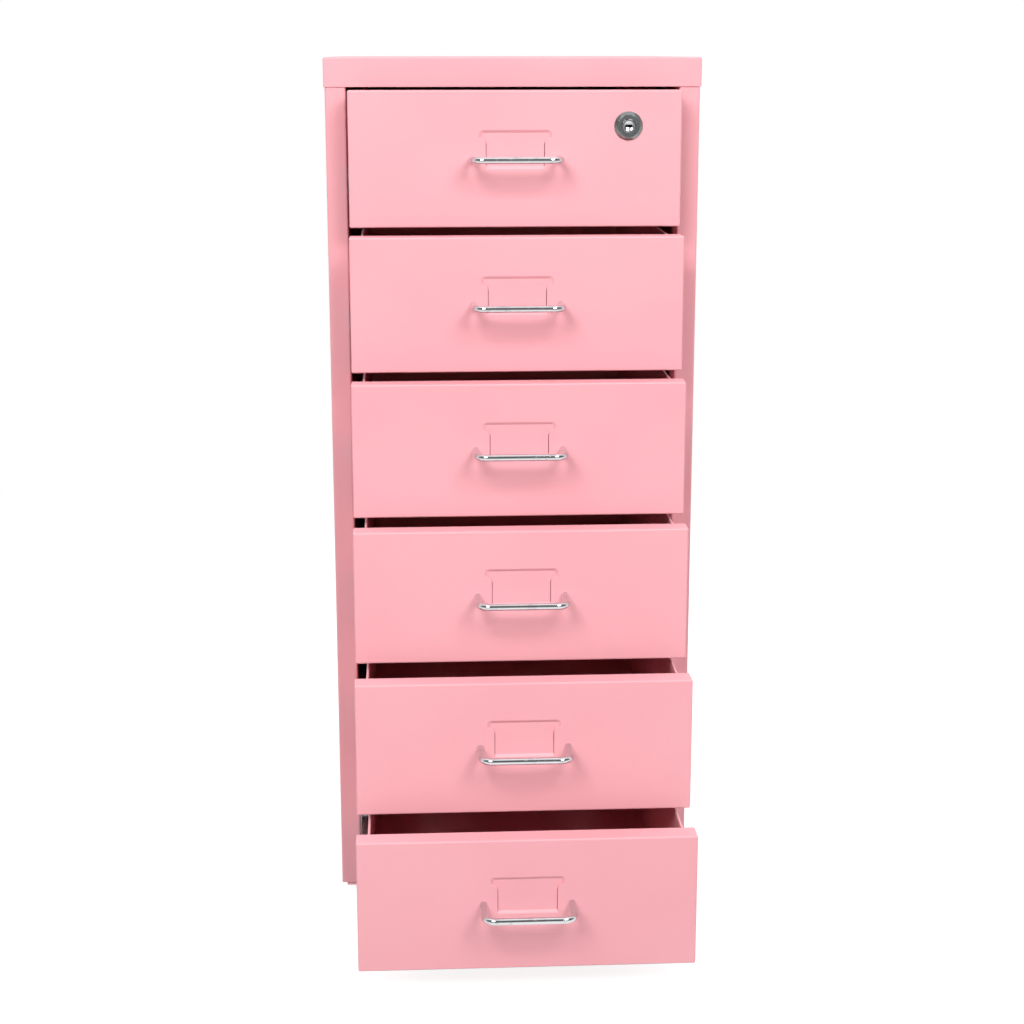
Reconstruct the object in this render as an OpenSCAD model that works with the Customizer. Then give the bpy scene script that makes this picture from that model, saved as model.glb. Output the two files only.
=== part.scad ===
// Six-drawer sheet-steel cabinet, free-standing, drawn with its drawers part open.
// Origin: floor level, centre of the carcass. +X right, +Y to the back, +Z up. Millimetres.

/* [Carcass] */
// Width over the side panels
body_w = 280; // [250:1:330]
// Depth of the side panels, front to back
body_d = 410; // [400:1:470]
// Thickness of the carcass and front sheet
sheet = 0.8; // [0.6:0.1:1.2]
// Width of the front flange beside the drawers
flange_w = 15.5; // [14:0.5:20]
// Depth of the lip folded back from the front flange
lip_d = 26; // [24:1:40]
// Width of the flanges at the back and bottom of a side panel
edge_flange = 14; // [13:0.5:18]
// Height of the cap's skirt
cap_h = 21.5; // [19:0.5:30]
// How far the cap's skirt stands proud of the sides
cap_proud = 0.9; // [0.9:0.1:2]
// How far the base panel's rim hangs below the side panels
base_drop = 2.6; // [2:0.2:6]
// Inset of the base panel from the side panels
base_inset = 4; // [2:0.5:8]
// Height of the feet under the base panel's rim
foot_h = 8; // [5:0.5:20]
// Diameter of the feet
foot_dia = 24; // [18:1:30]
// Inset of the feet's centres from the sides, front and back
foot_inset = 34; // [26:1:50]

/* [Drawer fronts] */
// Height of a drawer front
front_h = 99.3; // [90:0.1:120]
// Gap between two drawer fronts
front_gap = 4.85; // [3:0.05:8]
// Gap above the top drawer
top_gap = 2; // [1.5:0.1:4]
// Height of the opening's sill below the bottom drawer
sill_gap = 12; // [10:0.5:20]
// Gap between a drawer front and each side flange
side_gap = 1.8; // [1:0.1:3]
// Depth of the flange along the top of a drawer front
front_flange = 16.4; // [10:0.2:18]
// Depth of the flanges down the sides and bottom of a drawer front
front_return = 8; // [4:0.5:8.5]
// Inner radius of the bends round a drawer front and the cap
edge_radius = 0.4; // [0.3:0.1:1.8]

/* [Drawer trays] */
// Thickness of the tray sheet
tray_sheet = 0.7; // [0.6:0.1:1]
// Gap that the welding dimples keep between a front and its tray
weld_gap = 0.3; // [0.25:0.05:0.5]
// Depth of a tray from the back of its front
tray_d = 376; // [370:1:382]
// Width of the slide space between a tray and the opening's side
slide_space = 10; // [9.5:0.1:12]
// Height of the tray's floor above the front's bottom edge
tray_lift = 5; // [3:0.5:8]
// How much lower the tray's back is than its sides
back_drop = 8; // [0:1:20]
// Depth of the hem along the tray's top edge
hem_d = 6; // [4:0.5:10]
// Travel from shut to the stop
travel = 260; // [240:1:262]

/* [Slides] */
// Height of the cabinet channel
channel_h = 20; // [17:0.5:24]
// Thickness of the channel steel
channel_sheet = 1; // [0.8:0.1:1.2]
// Height of the channel's middle above the front's bottom edge
channel_z = 34; // [20:1:60]
// Clearance between the nested channels
slide_clear = 0.4; // [0.3:0.05:0.5]
// Distance of the channel's mouth behind the carcass front
channel_start = 10; // [9.5:0.5:12]
// Length of the cabinet channel
channel_len = 377; // [374:1:380]
// Length of the nylon glide that meets the stop
glide_len = 20; // [12:1:30]

/* [Label holder] */
// Width of the pressed recess
recess_w = 54; // [40:1:70]
// Height of the pressed recess
recess_h = 28; // [20:1:36]
// Distance of the recess below the front's top edge
recess_top = 28.5; // [24:0.5:32]
// Depth of the recess
recess_d = 1.4; // [1.3:0.1:2]
// Width of the opening between the two card tabs
card_w = 43.4; // [32:0.2:46]
// Drop from the recess's top to the tops of the card tabs
tab_drop = 5.7; // [4:0.1:8]

/* [Handle] */
// Distance between the handle's legs, centre to centre
handle_cc = 64; // [60:1:110]
// Diameter of the handle wire
wire_dia = 5; // [5:0.1:8]
// Distance of the bar's middle from the front
handle_reach = 29; // [20:0.5:40]
// Radius of the handle's bends at the middle of the wire
handle_bend = 8; // [6:0.5:14]
// Distance of the handle below the front's top edge
handle_drop = 49; // [40:0.5:60]

/* [Lock] */
// Diameter of the lock's bezel
bezel_dia = 21; // [19:0.5:24]
// Thickness of the bezel in front of the drawer
bezel_t = 2.6; // [2:0.1:4]
// Diameter of the threaded barrel
barrel_dia = 16; // [14:0.5:17]
// Diameter of the turning plug
plug_dia = 10; // [8:0.5:12]
// Length of the cam from the plug's axis to its tip
cam_len = 34; // [31:0.5:38]
// Distance of the lock below the front's top edge
lock_drop = 25.7; // [22:0.5:29]
// Distance of the lock from the front's right edge
lock_inset = 39.5; // [36:0.5:44]

/* [Drawer positions] */
// How far the top drawer stands open
open_1 = 28.6; // [0:0.1:230]
// How far the second drawer stands open
open_2 = 54.4; // [0:0.1:230]
// How far the third drawer stands open
open_3 = 78.7; // [0:0.1:230]
// How far the fourth drawer stands open
open_4 = 105; // [0:0.1:230]
// How far the fifth drawer stands open
open_5 = 141.4; // [0:0.1:230]
// How far the bottom drawer stands open
open_6 = 182.5; // [0:0.1:230]

/* [Hidden] */
$fn = 48;

PINK = [0.98, 0.72, 0.76];
SHADED_PINK = [0.93, 0.62, 0.67];
ZINC = [0.72, 0.73, 0.75];
CHROME = [0.86, 0.87, 0.89];
NYLON = [0.93, 0.92, 0.88];
DARK = [0.2, 0.2, 0.21];

drawer_open = [open_1, open_2, open_3, open_4, open_5, open_6];
drawers = len(drawer_open);
fit = 0.1;                  // sheet-to-sheet assembly clearance
bend = 0.8;                 // inner radius of the small bends
edge_bend = edge_radius + sheet; // outer radius round a drawer front and the cap
bend_steps = 5;             // flats drawn round a bend
over = 1;                   // how far a cutter runs past what it cuts

// Heights
side_z = foot_h + base_drop;
seam_z = side_z + sill_gap + drawers * front_h + (drawers - 1) * front_gap + top_gap;
cap_z = seam_z + cap_h;
under_cap = cap_z - sheet;
wall_top = under_cap - edge_bend;           // clears the bend inside the cap

// Plan of the carcass
front_y = -body_d / 2;
rear_y = body_d / 2;
side_x = body_w / 2;
opening_x = side_x - flange_w;
front_w = 2 * (opening_x - side_gap);
tray_x = opening_x - slide_space;

// Slides: the channel's web lies against the lip, and the tray's member nests in it
web_x = opening_x - channel_sheet;
member_x = tray_x + channel_sheet;
channel_tip = member_x + slide_clear;
member_tip = web_x - slide_clear;
member_h = channel_h - 2 * channel_sheet - 2 * slide_clear;
member_lead = 2;                                // from the channel's mouth to the slide member
member_short = 4;                               // from the slide member's end to the tray's
member_start = channel_start + member_lead;
member_end = tray_d - member_short;
ear_back = 12;                                  // from the channel's mouth to the stop ear
ear_y = channel_start + ear_back;
ear_h = 6;
ear_room = 2;                                   // between the ear's tip and the member's web
ear_tip = member_x + ear_room;
stop_gap = 0.5;
glide_y = ear_y + channel_sheet + stop_gap + travel;
glide_clear = 0.5;                              // round a glide inside its slide member
channel_end = channel_start + channel_len;
post_lap = 24;                                  // of a post along the channels
post_y = front_y + channel_end - post_lap;
post_face = 20;
rivet_r = 1.6;
rivet_head_r = 2.5;
rivet_tail_r = 2.1;
rivet_head_t = 0.8;
rivet_lead = 6;                                 // from the channel's mouth to its front rivet
rivet_lap = 14;                                 // from its rear rivet to its end
rivet_front = channel_start + rivet_lead;
rivet_rear = channel_end - rivet_lap;
hole_clear = 0.05;

// Fasteners
screw_r = 2;
screw_head_r = 4;
screw_head_t = 2.4;
screw_len = 8;
head_taper = 0.8;                               // how much narrower a head is at its outside
cross_len = 4;                                  // driver cross in a head
cross_w = 0.8;
cross_d = 1.2;
rim_clear = 1.2;                                // between a screw's head and the base panel's rim
panel_screw_inset = 40;                         // of the top and bottom screws in a back flange
base_screw_inset = 70;
handle_screw_r = 1.5;
handle_bite = 8;                                // length of a handle screw in its leg
cam_screw_r = 1.5;
cam_bite = 4;                                   // length of the cam screw in the plug
tip_room = 1;                                   // past a screw's end in a blind hole

// Feet
foot_stem_r = 4;
foot_barb_r = 5;
foot_barb_t = 2;
foot_chamfer = 2;
barb_lead = 1;

// Label holder
tab_round = 3.8;                                // inner corner of a card tab
knit = 0.01;                                    // overlap that joins two solids of one piece

// Lock
shim = 0.05;
bezel_slope = 2.2;
bezel_edge = 0.7;
cam_t = 1.6;
cam_w = 12;
cam_hub = 14;
cam_clear = 0.2;                                // between the cam and the housing's end
cam_gap = 0.8;                                  // between the front's top flange and the cam
cam_y = front_flange + cam_gap;                 // front of the cam, behind the drawer's face
nut_t = 3.2;
nut_af = 20;
lock_x = front_w / 2 - lock_inset;
lock_z = front_h - lock_drop;
catch_h = 12;                                   // up-turned edge that the cam hooks behind
dish_r = 3.4;
dish_d = 0.8;
key_w = 5.4;
key_h = 1.5;
key_d = 8;

function drawer_z(i) = seam_z - top_gap - front_h - i * (front_h + front_gap);
function face_y(i) = front_y - drawer_open[i];
function runner_z(i) = drawer_z(i) + channel_z;

// ---------- folded sheet ----------

function unit(v) = v / norm(v);
function left_of(v) = [-v[1], v[0]];
function turned(v, a) = [v[0] * cos(a) - v[1] * sin(a), v[0] * sin(a) + v[1] * cos(a)];
function turn_angle(u, v) = atan2(u[0] * v[1] - u[1] * v[0], u * v);

// Points round one bend, at a distance s to the left of the sheet's right-hand face
function bend_pts(p, u, v, t, r, s) =
    let (a = turn_angle(u, v), way = sign(a), reach = way > 0 ? r + t : r,
         centre = p - u * reach * tan(abs(a) / 2) + way * left_of(u) * reach)
    [for (k = [0 : bend_steps])
        centre + turned(-way * left_of(u) * (reach - way * s), a * k / bend_steps)];

// One face of a folded sheet whose right-hand face follows the path's corners
function face_pts(path, t, r, s) =
    let (last = len(path) - 1)
    concat(
        [path[0] + left_of(unit(path[1] - path[0])) * s],
        [for (i = [1 : last - 1])
            each bend_pts(path[i], unit(path[i] - path[i - 1]), unit(path[i + 1] - path[i]), t, r, s)],
        [path[last] + left_of(unit(path[last] - path[last - 1])) * s]);

function backwards(list) = [for (i = [len(list) - 1 : -1 : 0]) list[i]];

module folded_sheet(path, t, r = bend) {
    polygon(concat(face_pts(path, t, r, 0), backwards(face_pts(path, t, r, t))));
}

// Extrudes a profile drawn in (x, z) along Y, and one drawn in (y, z) along X
module along_y(from, to) {
    translate([0, to, 0]) rotate([90, 0, 0]) linear_extrude(to - from) children();
}
module along_x(from, to) {
    translate([from, 0, 0]) rotate([90, 0, 90]) linear_extrude(to - from) children();
}
module up_z(from, to) {
    translate([0, 0, from]) linear_extrude(to - from) children();
}

// ---------- drawn pan: a flat face with four rounded walls ----------

function arc_pts(c, r, from, to) =
    [for (k = [0 : bend_steps])
        let (a = from + (to - from) * k / bend_steps) c + r * [cos(a), sin(a)]];
function rect_pts(w, l, r) = concat(
    arc_pts([w / 2 - r, l / 2 - r], r, 0, 90), arc_pts([r - w / 2, l / 2 - r], r, 90, 180),
    arc_pts([r - w / 2, r - l / 2], r, 180, 270), arc_pts([w / 2 - r, r - l / 2], r, 270, 360));
function trough_pts(w, h, r) = concat(
    [[w / 2, h]], arc_pts([w / 2 - r, r], r, 0, -90), arc_pts([r - w / 2, r], r, -90, -180),
    [[-w / 2, h]]);

module pan_block(w, l, h, r) {
    intersection() {
        linear_extrude(h) polygon(rect_pts(w, l, r));
        along_y(-l / 2, l / 2) polygon(trough_pts(w, h, r));
        along_x(-w / 2, w / 2) polygon(trough_pts(l, h, r));
    }
}

module pan(w, l, h, t, r) {
    difference() {
        pan_block(w, l, h, r);
        translate([0, 0, t]) pan_block(w - 2 * t, l - 2 * t, h, r - t);
    }
}

// ---------- fasteners ----------

// Lies along +Z: its head's underside at z = 0, its shank upwards
module screw(r, len) {
    cylinder(r = r, h = len);
    difference() {
        translate([0, 0, -screw_head_t])
            cylinder(r1 = screw_head_r - head_taper, r2 = screw_head_r, h = screw_head_t);
        for (a = [0, 90])
            rotate(a) translate([-cross_len / 2, -cross_w / 2, -screw_head_t - over])
                cube([cross_len, cross_w, over + cross_d]);
    }
}

// Clamps a stack of sheet between z = 0 and z = grip
module rivet(grip) {
    translate([0, 0, -rivet_head_t]) cylinder(r = rivet_head_r, h = rivet_head_t);
    cylinder(r = rivet_r, h = grip);
    translate([0, 0, grip]) cylinder(r = rivet_tail_r, h = rivet_head_t);
}

module each_side() {
    children();
    mirror([1, 0, 0]) children();
}

module each_runner() {
    for (i = [0 : drawers - 1]) translate([0, 0, runner_z(i)]) children();
}

// ---------- carcass ----------

flange_mid_x = side_x - sheet - edge_flange / 2;
panel_screw_z = [
    side_z + panel_screw_inset, (side_z + seam_z) / 2, seam_z - panel_screw_inset];
base_screw_x = side_x - base_inset - sheet - screw_head_r - rim_clear;
base_screw_y = [front_y + base_screw_inset, rear_y - base_screw_inset];

// The right-hand side panel; the left is its mirror image
module side_panel() {
    profile = [
        [opening_x, front_y + lip_d], [opening_x, front_y], [side_x, front_y],
        [side_x, rear_y], [side_x - edge_flange, rear_y]];
    difference() {
        union() {
            up_z(side_z, wall_top) folded_sheet(profile, sheet);
            along_y(front_y + lip_d, rear_y - edge_flange)
                folded_sheet([
                    [side_x - edge_flange, side_z], [side_x, side_z],
                    [side_x, under_cap], [side_x - edge_flange, under_cap]], sheet);
        }
        each_runner()
            translate([opening_x - over, front_y + rivet_front, 0])
                rotate([0, 90, 0]) cylinder(r = rivet_r + hole_clear, h = sheet + 2 * over);
        for (z = panel_screw_z)
            translate([flange_mid_x, rear_y + over, z])
                rotate([90, 0, 0]) cylinder(r = screw_r + hole_clear, h = sheet + 2 * over);
        for (y = base_screw_y)
            translate([base_screw_x, y, side_z - over])
                cylinder(r = screw_r + hole_clear, h = sheet + 2 * over);
    }
}

module side_panel_right() {
    color(SHADED_PINK) side_panel();
}

module side_panel_left() {
    color(SHADED_PINK) mirror([1, 0, 0]) side_panel();
}

module back_panel() {
    half = side_x - sheet - bend;
    inside_y = rear_y - sheet;
    color(SHADED_PINK) difference() {
        translate([-half, inside_y - sheet, side_z + sheet])
            cube([2 * half, sheet, wall_top - side_z - sheet]);
        each_side() for (z = panel_screw_z)
            translate([flange_mid_x, rear_y, z])
                rotate([90, 0, 0]) cylinder(r = screw_r + hole_clear, h = 3 * sheet + over);
    }
}

module top_cap() {
    color(PINK) translate([0, 0, cap_z]) mirror([0, 0, 1])
        pan(body_w + 2 * cap_proud, body_d + 2 * cap_proud, cap_h, sheet, edge_bend);
}

// A plate under the side panels' bottom flanges, with a rim turned down all round
module base_panel() {
    w = body_w - 2 * base_inset;
    l = body_d - 2 * sheet;
    color(SHADED_PINK) difference() {
        translate([0, 0, side_z]) mirror([0, 0, 1]) pan(w, l, base_drop, sheet, bend + sheet);
        each_side() for (y = base_screw_y)
            translate([base_screw_x, y, side_z - sheet - over])
                cylinder(r = screw_r + hole_clear, h = sheet + 2 * over);
        each_foot() translate([0, 0, side_z - sheet - over])
            cylinder(r = foot_stem_r + hole_clear, h = sheet + 2 * over);
    }
}

// Channel across the top of the opening; the lock's cam hooks behind its back edge
module top_rail() {
    color(SHADED_PINK) along_x(-opening_x + fit, opening_x - fit)
        folded_sheet([
            [front_y, wall_top], [front_y, seam_z],
            [front_y + front_flange, seam_z], [front_y + front_flange, seam_z + catch_h]], sheet);
}

module bottom_rail() {
    sill_top = side_z + sill_gap - top_gap;
    color(SHADED_PINK) along_x(-opening_x + fit, opening_x - fit)
        folded_sheet([
            [front_y + front_return, sill_top], [front_y, sill_top],
            [front_y, side_z], [front_y + lip_d, side_z]], sheet);
}

// Folded posts that carry the back ends of the runners
module rear_posts() {
    color(SHADED_PINK) each_side() difference() {
        up_z(side_z + 2 * sheet, under_cap - 2 * sheet)
            folded_sheet([
                [side_x - sheet, post_y + post_face - edge_flange],
                [side_x - sheet, post_y + post_face],
                [opening_x, post_y + post_face],
                [opening_x, post_y]], sheet);
        each_runner()
            translate([opening_x - over, front_y + rivet_rear, 0])
                rotate([0, 90, 0]) cylinder(r = rivet_r + hole_clear, h = sheet + 2 * over);
    }
}

// One right-hand cabinet channel, centred on its height, with its lanced stop ear
module runner() {
    start = front_y + channel_start;
    half = channel_h / 2;
    difference() {
        along_y(start, start + channel_len)
            folded_sheet([
                [channel_tip, -half], [opening_x, -half],
                [opening_x, half], [channel_tip, half]], channel_sheet, channel_sheet / 2);
        translate([web_x - over, front_y + ear_y + channel_sheet, -ear_h / 2])
            cube([channel_sheet + 2 * over, opening_x - ear_tip, ear_h]);
        for (y = [rivet_front, rivet_rear])
            translate([web_x - over, front_y + y, 0])
                rotate([0, 90, 0]) cylinder(r = rivet_r + hole_clear, h = channel_sheet + 2 * over);
    }
    translate([ear_tip, front_y + ear_y, -ear_h / 2])
        cube([opening_x - ear_tip, channel_sheet, ear_h]);
}

module runners_right() {
    color(ZINC) each_runner() runner();
}

module runners_left() {
    color(ZINC) mirror([1, 0, 0]) each_runner() runner();
}

module runner_rivets() {
    color(ZINC) each_side() each_runner() for (y = [rivet_front, rivet_rear])
        translate([web_x, front_y + y, 0]) rotate([0, 90, 0]) rivet(channel_sheet + sheet);
}

module panel_screws() {
    color(ZINC) each_side() for (z = panel_screw_z)
        translate([flange_mid_x, rear_y, z]) rotate([90, 0, 0]) screw(screw_r, screw_len);
}

module base_screws() {
    color(ZINC) each_side() for (y = base_screw_y)
        translate([base_screw_x, y, side_z - sheet]) screw(screw_r, screw_len);
}

module each_foot() {
    for (x = [-1, 1], y = [-1, 1])
        translate([x * (side_x - foot_inset), y * (rear_y - foot_inset), 0]) children();
}

// Plastic feet pushed into the base panel
module feet() {
    seat = side_z - sheet;
    tip = side_z + foot_barb_t + barb_lead;
    color(DARK) each_foot() rotate_extrude()
        polygon([
            [0, 0], [foot_dia / 2 - foot_chamfer, 0], [foot_dia / 2, foot_chamfer],
            [foot_dia / 2, seat], [foot_stem_r, seat], [foot_stem_r, side_z],
            [foot_barb_r, side_z], [foot_stem_r - barb_lead, tip], [0, tip]]);
}

// ---------- drawers ----------
// A drawer is drawn with its face at y = 0 and its front's bottom edge at z = 0

handle_z = front_h - handle_drop;
recess_z = front_h - recess_top - recess_h;

module in_drawer(i) {
    translate([0, face_y(i), drawer_z(i)]) children();
}

// Outline of the left-hand card tab, seen from the front
module card_tab() {
    inner = card_w / 2;
    outer = recess_w / 2 + sheet;
    low = recess_z - sheet;
    high = recess_z + recess_h - tab_drop;
    polygon(concat(
        [[-outer, low], [-inner, low]],
        arc_pts([-inner - tab_round, high - tab_round], tab_round, 0, 90),
        [[-outer, high]]));
}

// The face steps back to the card recess and forward again, as pressed
module recess() {
    slope = recess_d;
    top = recess_z + recess_h;
    along_x(-recess_w / 2, recess_w / 2)
        folded_sheet([
            [0, top + slope + bend], [0, top + slope / 2], [recess_d, top - slope / 2],
            [recess_d, recess_z + slope / 2], [0, recess_z - slope / 2],
            [0, recess_z - slope - bend]], sheet, bend / 4);
    each_side()
        translate([recess_w / 2 - knit, sheet / 2, recess_z])
            cube([sheet, recess_d + sheet / 2, recess_h]);
}

module drawer_front(i) {
    color(PINK) in_drawer(i) difference() {
        union() {
            difference() {
                translate([0, 0, front_h / 2]) mirror([0, 1, 0]) rotate([90, 0, 0])
                    pan(front_w, front_h, front_flange, sheet, edge_bend);
                translate([-front_w, front_return, -over])
                    cube([2 * front_w, front_flange, front_h - sheet + over]);
                translate([-recess_w / 2, -over, recess_z - recess_d - bend])
                    cube([recess_w, sheet + 2 * over, recess_h + 2 * (recess_d + bend)]);
            }
            recess();
            translate([0, sheet, 0]) rotate([90, 0, 0]) linear_extrude(sheet) {
                card_tab();
                mirror([1, 0]) card_tab();
            }
        }
        each_side() translate([handle_cc / 2, -over, handle_z])
            rotate([-90, 0, 0]) cylinder(r = screw_r + hole_clear, h = sheet + 2 * over);
        if (i == 0)
            translate([lock_x, -over, lock_z])
                rotate([-90, 0, 0]) cylinder(r = barrel_dia / 2 + hole_clear, h = sheet + 2 * over);
    }
}

// Folded floor and sides with hemmed edges, and a folded-up back
module drawer_tray(i) {
    top = front_h - sheet;
    hem = 2 * tray_sheet + bend / 2;
    curl = bend / 4;
    face_y = sheet + weld_gap + tray_sheet;
    back_y = sheet + tray_d;
    back_top = top - back_drop;
    inside = tray_x - tray_sheet - fit;
    floor_z = tray_lift;
    tab_x = front_w / 2 - edge_bend - fit;
    tab_z = floor_z + hem_d;
    tab_h = top - floor_z - 2 * hem_d;
    color(PINK) in_drawer(i) {
        along_y(edge_bend, back_y - bend - tray_sheet)
            folded_sheet([
                [hem - tray_x, top - hem_d], [hem - tray_x, top], [-tray_x, top],
                [-tray_x, floor_z], [tray_x, floor_z],
                [tray_x, top], [tray_x - hem, top], [tray_x - hem, top - hem_d]],
                tray_sheet, curl);
        along_x(-inside, inside)
            folded_sheet([
                [face_y, edge_bend], [face_y, floor_z],
                [back_y, floor_z], [back_y, back_top], [back_y - hem, back_top],
                [back_y - hem, back_top - hem_d]], tray_sheet, curl);
        each_side() translate([tray_x - tray_sheet, face_y - tray_sheet, tab_z]) {
            cube([tab_x - tray_x + tray_sheet, tray_sheet, tab_h]);
            cube([tray_sheet, edge_bend, tab_h]);
        }
    }
}

// The slide member on each side of the tray, nested in the cabinet channel
module drawer_slides(i) {
    half = member_h / 2;
    color(ZINC) in_drawer(i) each_side() translate([0, 0, channel_z])
        along_y(member_start, member_end)
            folded_sheet([
                [member_tip, half], [tray_x, half], [tray_x, -half], [member_tip, -half]],
                channel_sheet, channel_sheet / 2);
}

// Nylon blocks in the slide members; at full reach they meet the stop ears
module drawer_glides(i) {
    half = member_h / 2 - channel_sheet - glide_clear;
    color(NYLON) in_drawer(i) each_side()
        translate([member_x, glide_y, channel_z - half])
            cube([web_x - slide_clear - member_x, glide_len, 2 * half]);
}

module drawer_handle(i) {
    leg = handle_reach - handle_bend;
    bar = handle_cc - 2 * handle_bend;
    wire_r = wire_dia / 2;
    color(CHROME) in_drawer(i) translate([0, 0, handle_z]) {
        each_side() translate([handle_cc / 2, 0, 0]) {
            difference() {
                rotate([90, 0, 0]) cylinder(r = wire_r, h = leg);
                translate([0, over, 0]) rotate([90, 0, 0])
                    cylinder(r = handle_screw_r + hole_clear, h = over + handle_bite + tip_room);
            }
            translate([-handle_bend, -leg, 0]) rotate([180, 0, 0])
                rotate_extrude(angle = 90) translate([handle_bend, 0]) circle(r = wire_r);
        }
        translate([-bar / 2, -handle_reach, 0]) rotate([0, 90, 0]) cylinder(r = wire_r, h = bar);
    }
}

module drawer_screws(i) {
    color(ZINC) in_drawer(i) each_side() translate([handle_cc / 2, sheet, handle_z])
        rotate([90, 0, 0]) screw(handle_screw_r, sheet + handle_bite);
}

// ---------- lock ----------
// Drawn with its axis along Y through the origin and the drawer's face at y = 0

module at_lock() {
    in_drawer(0) translate([lock_x, 0, lock_z]) rotate([-90, 0, 0]) children();
}

module lock_housing() {
    bore = plug_dia / 2 + shim;
    end_y = cam_y - cam_clear;
    color(CHROME) at_lock() rotate_extrude()
        polygon([
            [bore, -bezel_t], [bezel_dia / 2 - bezel_slope, -bezel_t],
            [bezel_dia / 2, -bezel_edge], [bezel_dia / 2, 0], [barrel_dia / 2, 0],
            [barrel_dia / 2, end_y], [bore, end_y]]);
}

module lock_nut() {
    color(ZINC) at_lock() translate([0, 0, sheet]) difference() {
        cylinder(d = nut_af / cos(30), h = nut_t, $fn = 6);
        translate([0, 0, -over]) cylinder(d = barrel_dia + 2 * hole_clear, h = nut_t + 2 * over);
    }
}

// The turning plug, with a dished face and a key slot
module lock_plug() {
    color(CHROME) at_lock() difference() {
        translate([0, 0, -bezel_t]) cylinder(d = plug_dia, h = bezel_t + cam_y);
        translate([0, 0, -bezel_t - over])
            cylinder(r1 = dish_r + over, r2 = dish_r - dish_d, h = over + dish_d);
        translate([-key_w / 2, -key_h / 2, -bezel_t - over]) cube([key_w, key_h, over + key_d]);
        translate([0, 0, cam_y - cam_bite - tip_room])
            cylinder(r = cam_screw_r + hole_clear, h = cam_bite + tip_room + over);
    }
}

// Flat cam, drawn unlocked: it points towards the drawer's middle
module lock_cam() {
    tip_r = cam_w / 2;
    color(ZINC) at_lock() translate([0, 0, cam_y]) linear_extrude(cam_t) difference() {
        union() {
            circle(d = cam_hub);
            translate([-cam_len + tip_r, -tip_r]) square([cam_len - tip_r, cam_w]);
            translate([-cam_len + tip_r, 0]) circle(r = tip_r);
        }
        circle(r = cam_screw_r + hole_clear);
    }
}

module cam_screw() {
    color(ZINC) at_lock() translate([0, 0, cam_y + cam_t]) mirror([0, 0, 1])
        screw(cam_screw_r, cam_t + cam_bite);
}

// ---------- assembly ----------

side_panel_left();
side_panel_right();
back_panel();
top_cap();
base_panel();
top_rail();
bottom_rail();
rear_posts();
runners_left();
runners_right();
runner_rivets();
panel_screws();
base_screws();
feet();
for (i = [0 : drawers - 1]) {
    drawer_front(i);
    drawer_tray(i);
    drawer_slides(i);
    drawer_glides(i);
    drawer_handle(i);
    drawer_screws(i);
}
lock_housing();
lock_nut();
lock_plug();
lock_cam();
cam_screw();
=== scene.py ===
"""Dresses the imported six-drawer steel cabinet and sets it in a plain studio.

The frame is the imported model. Pieces are modelled here in millimetres, put into
the frame in metres, and ride on the frame's bodies.
"""

import logging
import math
from contextlib import contextmanager
from dataclasses import dataclass, field
from enum import Enum
from typing import Callable, Iterator, Sequence

import bmesh
import bpy
from mathutils import Matrix, Vector


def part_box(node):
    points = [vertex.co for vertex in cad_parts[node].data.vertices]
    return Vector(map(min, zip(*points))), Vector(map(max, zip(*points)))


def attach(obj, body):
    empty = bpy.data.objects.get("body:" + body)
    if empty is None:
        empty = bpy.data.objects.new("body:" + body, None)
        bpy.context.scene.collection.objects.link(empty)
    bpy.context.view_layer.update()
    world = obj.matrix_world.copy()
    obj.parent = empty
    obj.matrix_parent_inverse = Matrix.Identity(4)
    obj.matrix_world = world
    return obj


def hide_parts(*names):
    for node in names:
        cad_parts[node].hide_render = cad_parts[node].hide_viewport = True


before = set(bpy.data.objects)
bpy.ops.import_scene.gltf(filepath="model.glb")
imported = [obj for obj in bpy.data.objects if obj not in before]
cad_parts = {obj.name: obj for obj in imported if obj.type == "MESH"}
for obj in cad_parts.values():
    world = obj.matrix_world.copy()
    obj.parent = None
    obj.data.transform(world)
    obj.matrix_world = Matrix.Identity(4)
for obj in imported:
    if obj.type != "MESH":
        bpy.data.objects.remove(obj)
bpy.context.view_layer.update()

LOG = logging.getLogger("cabinet")
MM = 0.001
DRAWERS = 6
SLIVER = 0.012  # in millimetres: an edge shorter than this is a leftover of a cut
TOUCH = 0.01  # in millimetres: what lies closer than this is at the same place
SHIM = 0.02  # in millimetres: what keeps two faces from lying in one plane
OVER = 1.0  # in millimetres: how far a cutting tool runs out past what it cuts
POINT = 0.02  # in millimetres: radius of the end ring of a piece that ends on its axis
FACING = 0.9  # the least share of a normal or an edge that runs along the axis it is tested for
BEND_STEPS = 6  # how many faces go round a bend or a pressed corner

Triple = tuple[float, float, float]
Colour = tuple[float, float, float, float]
ScreenColour = tuple[int, int, int]
Profile = Sequence[tuple[float, float]]
Obj = bpy.types.Object
Mat = bpy.types.Material
Tree = bpy.types.NodeTree
Node = bpy.types.Node
Socket = bpy.types.NodeSocket


# ---------------------------------------------------------------- choices


class Body(Enum):
    """The frame's bodies that new pieces ride on."""

    CARCASS = "carcass"
    LOCK = "lock_cylinder"

    @staticmethod
    def drawer(number: int) -> str:
        """The name of a drawer's body.

        Args:
            number: The drawer, 1 at the top.

        Returns:
            The body's name.
        """
        return f"drawer_{number}"


class Slot(Enum):
    """Material slots of the record."""

    PINK = "pink_paint"
    ZINC = "zinc_plate"
    CHROME = "chrome"
    NYLON = "nylon"
    FOOT = "foot_plastic"


class Part(Enum):
    """What a selection in edit mode is made of."""

    VERT = "VERT"
    EDGE = "EDGE"
    FACE = "FACE"


class Join(Enum):
    """What a tool solid does to a piece."""

    ADD = "UNION"
    CUT = "DIFFERENCE"


# ---------------------------------------------------------------- the bench


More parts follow.
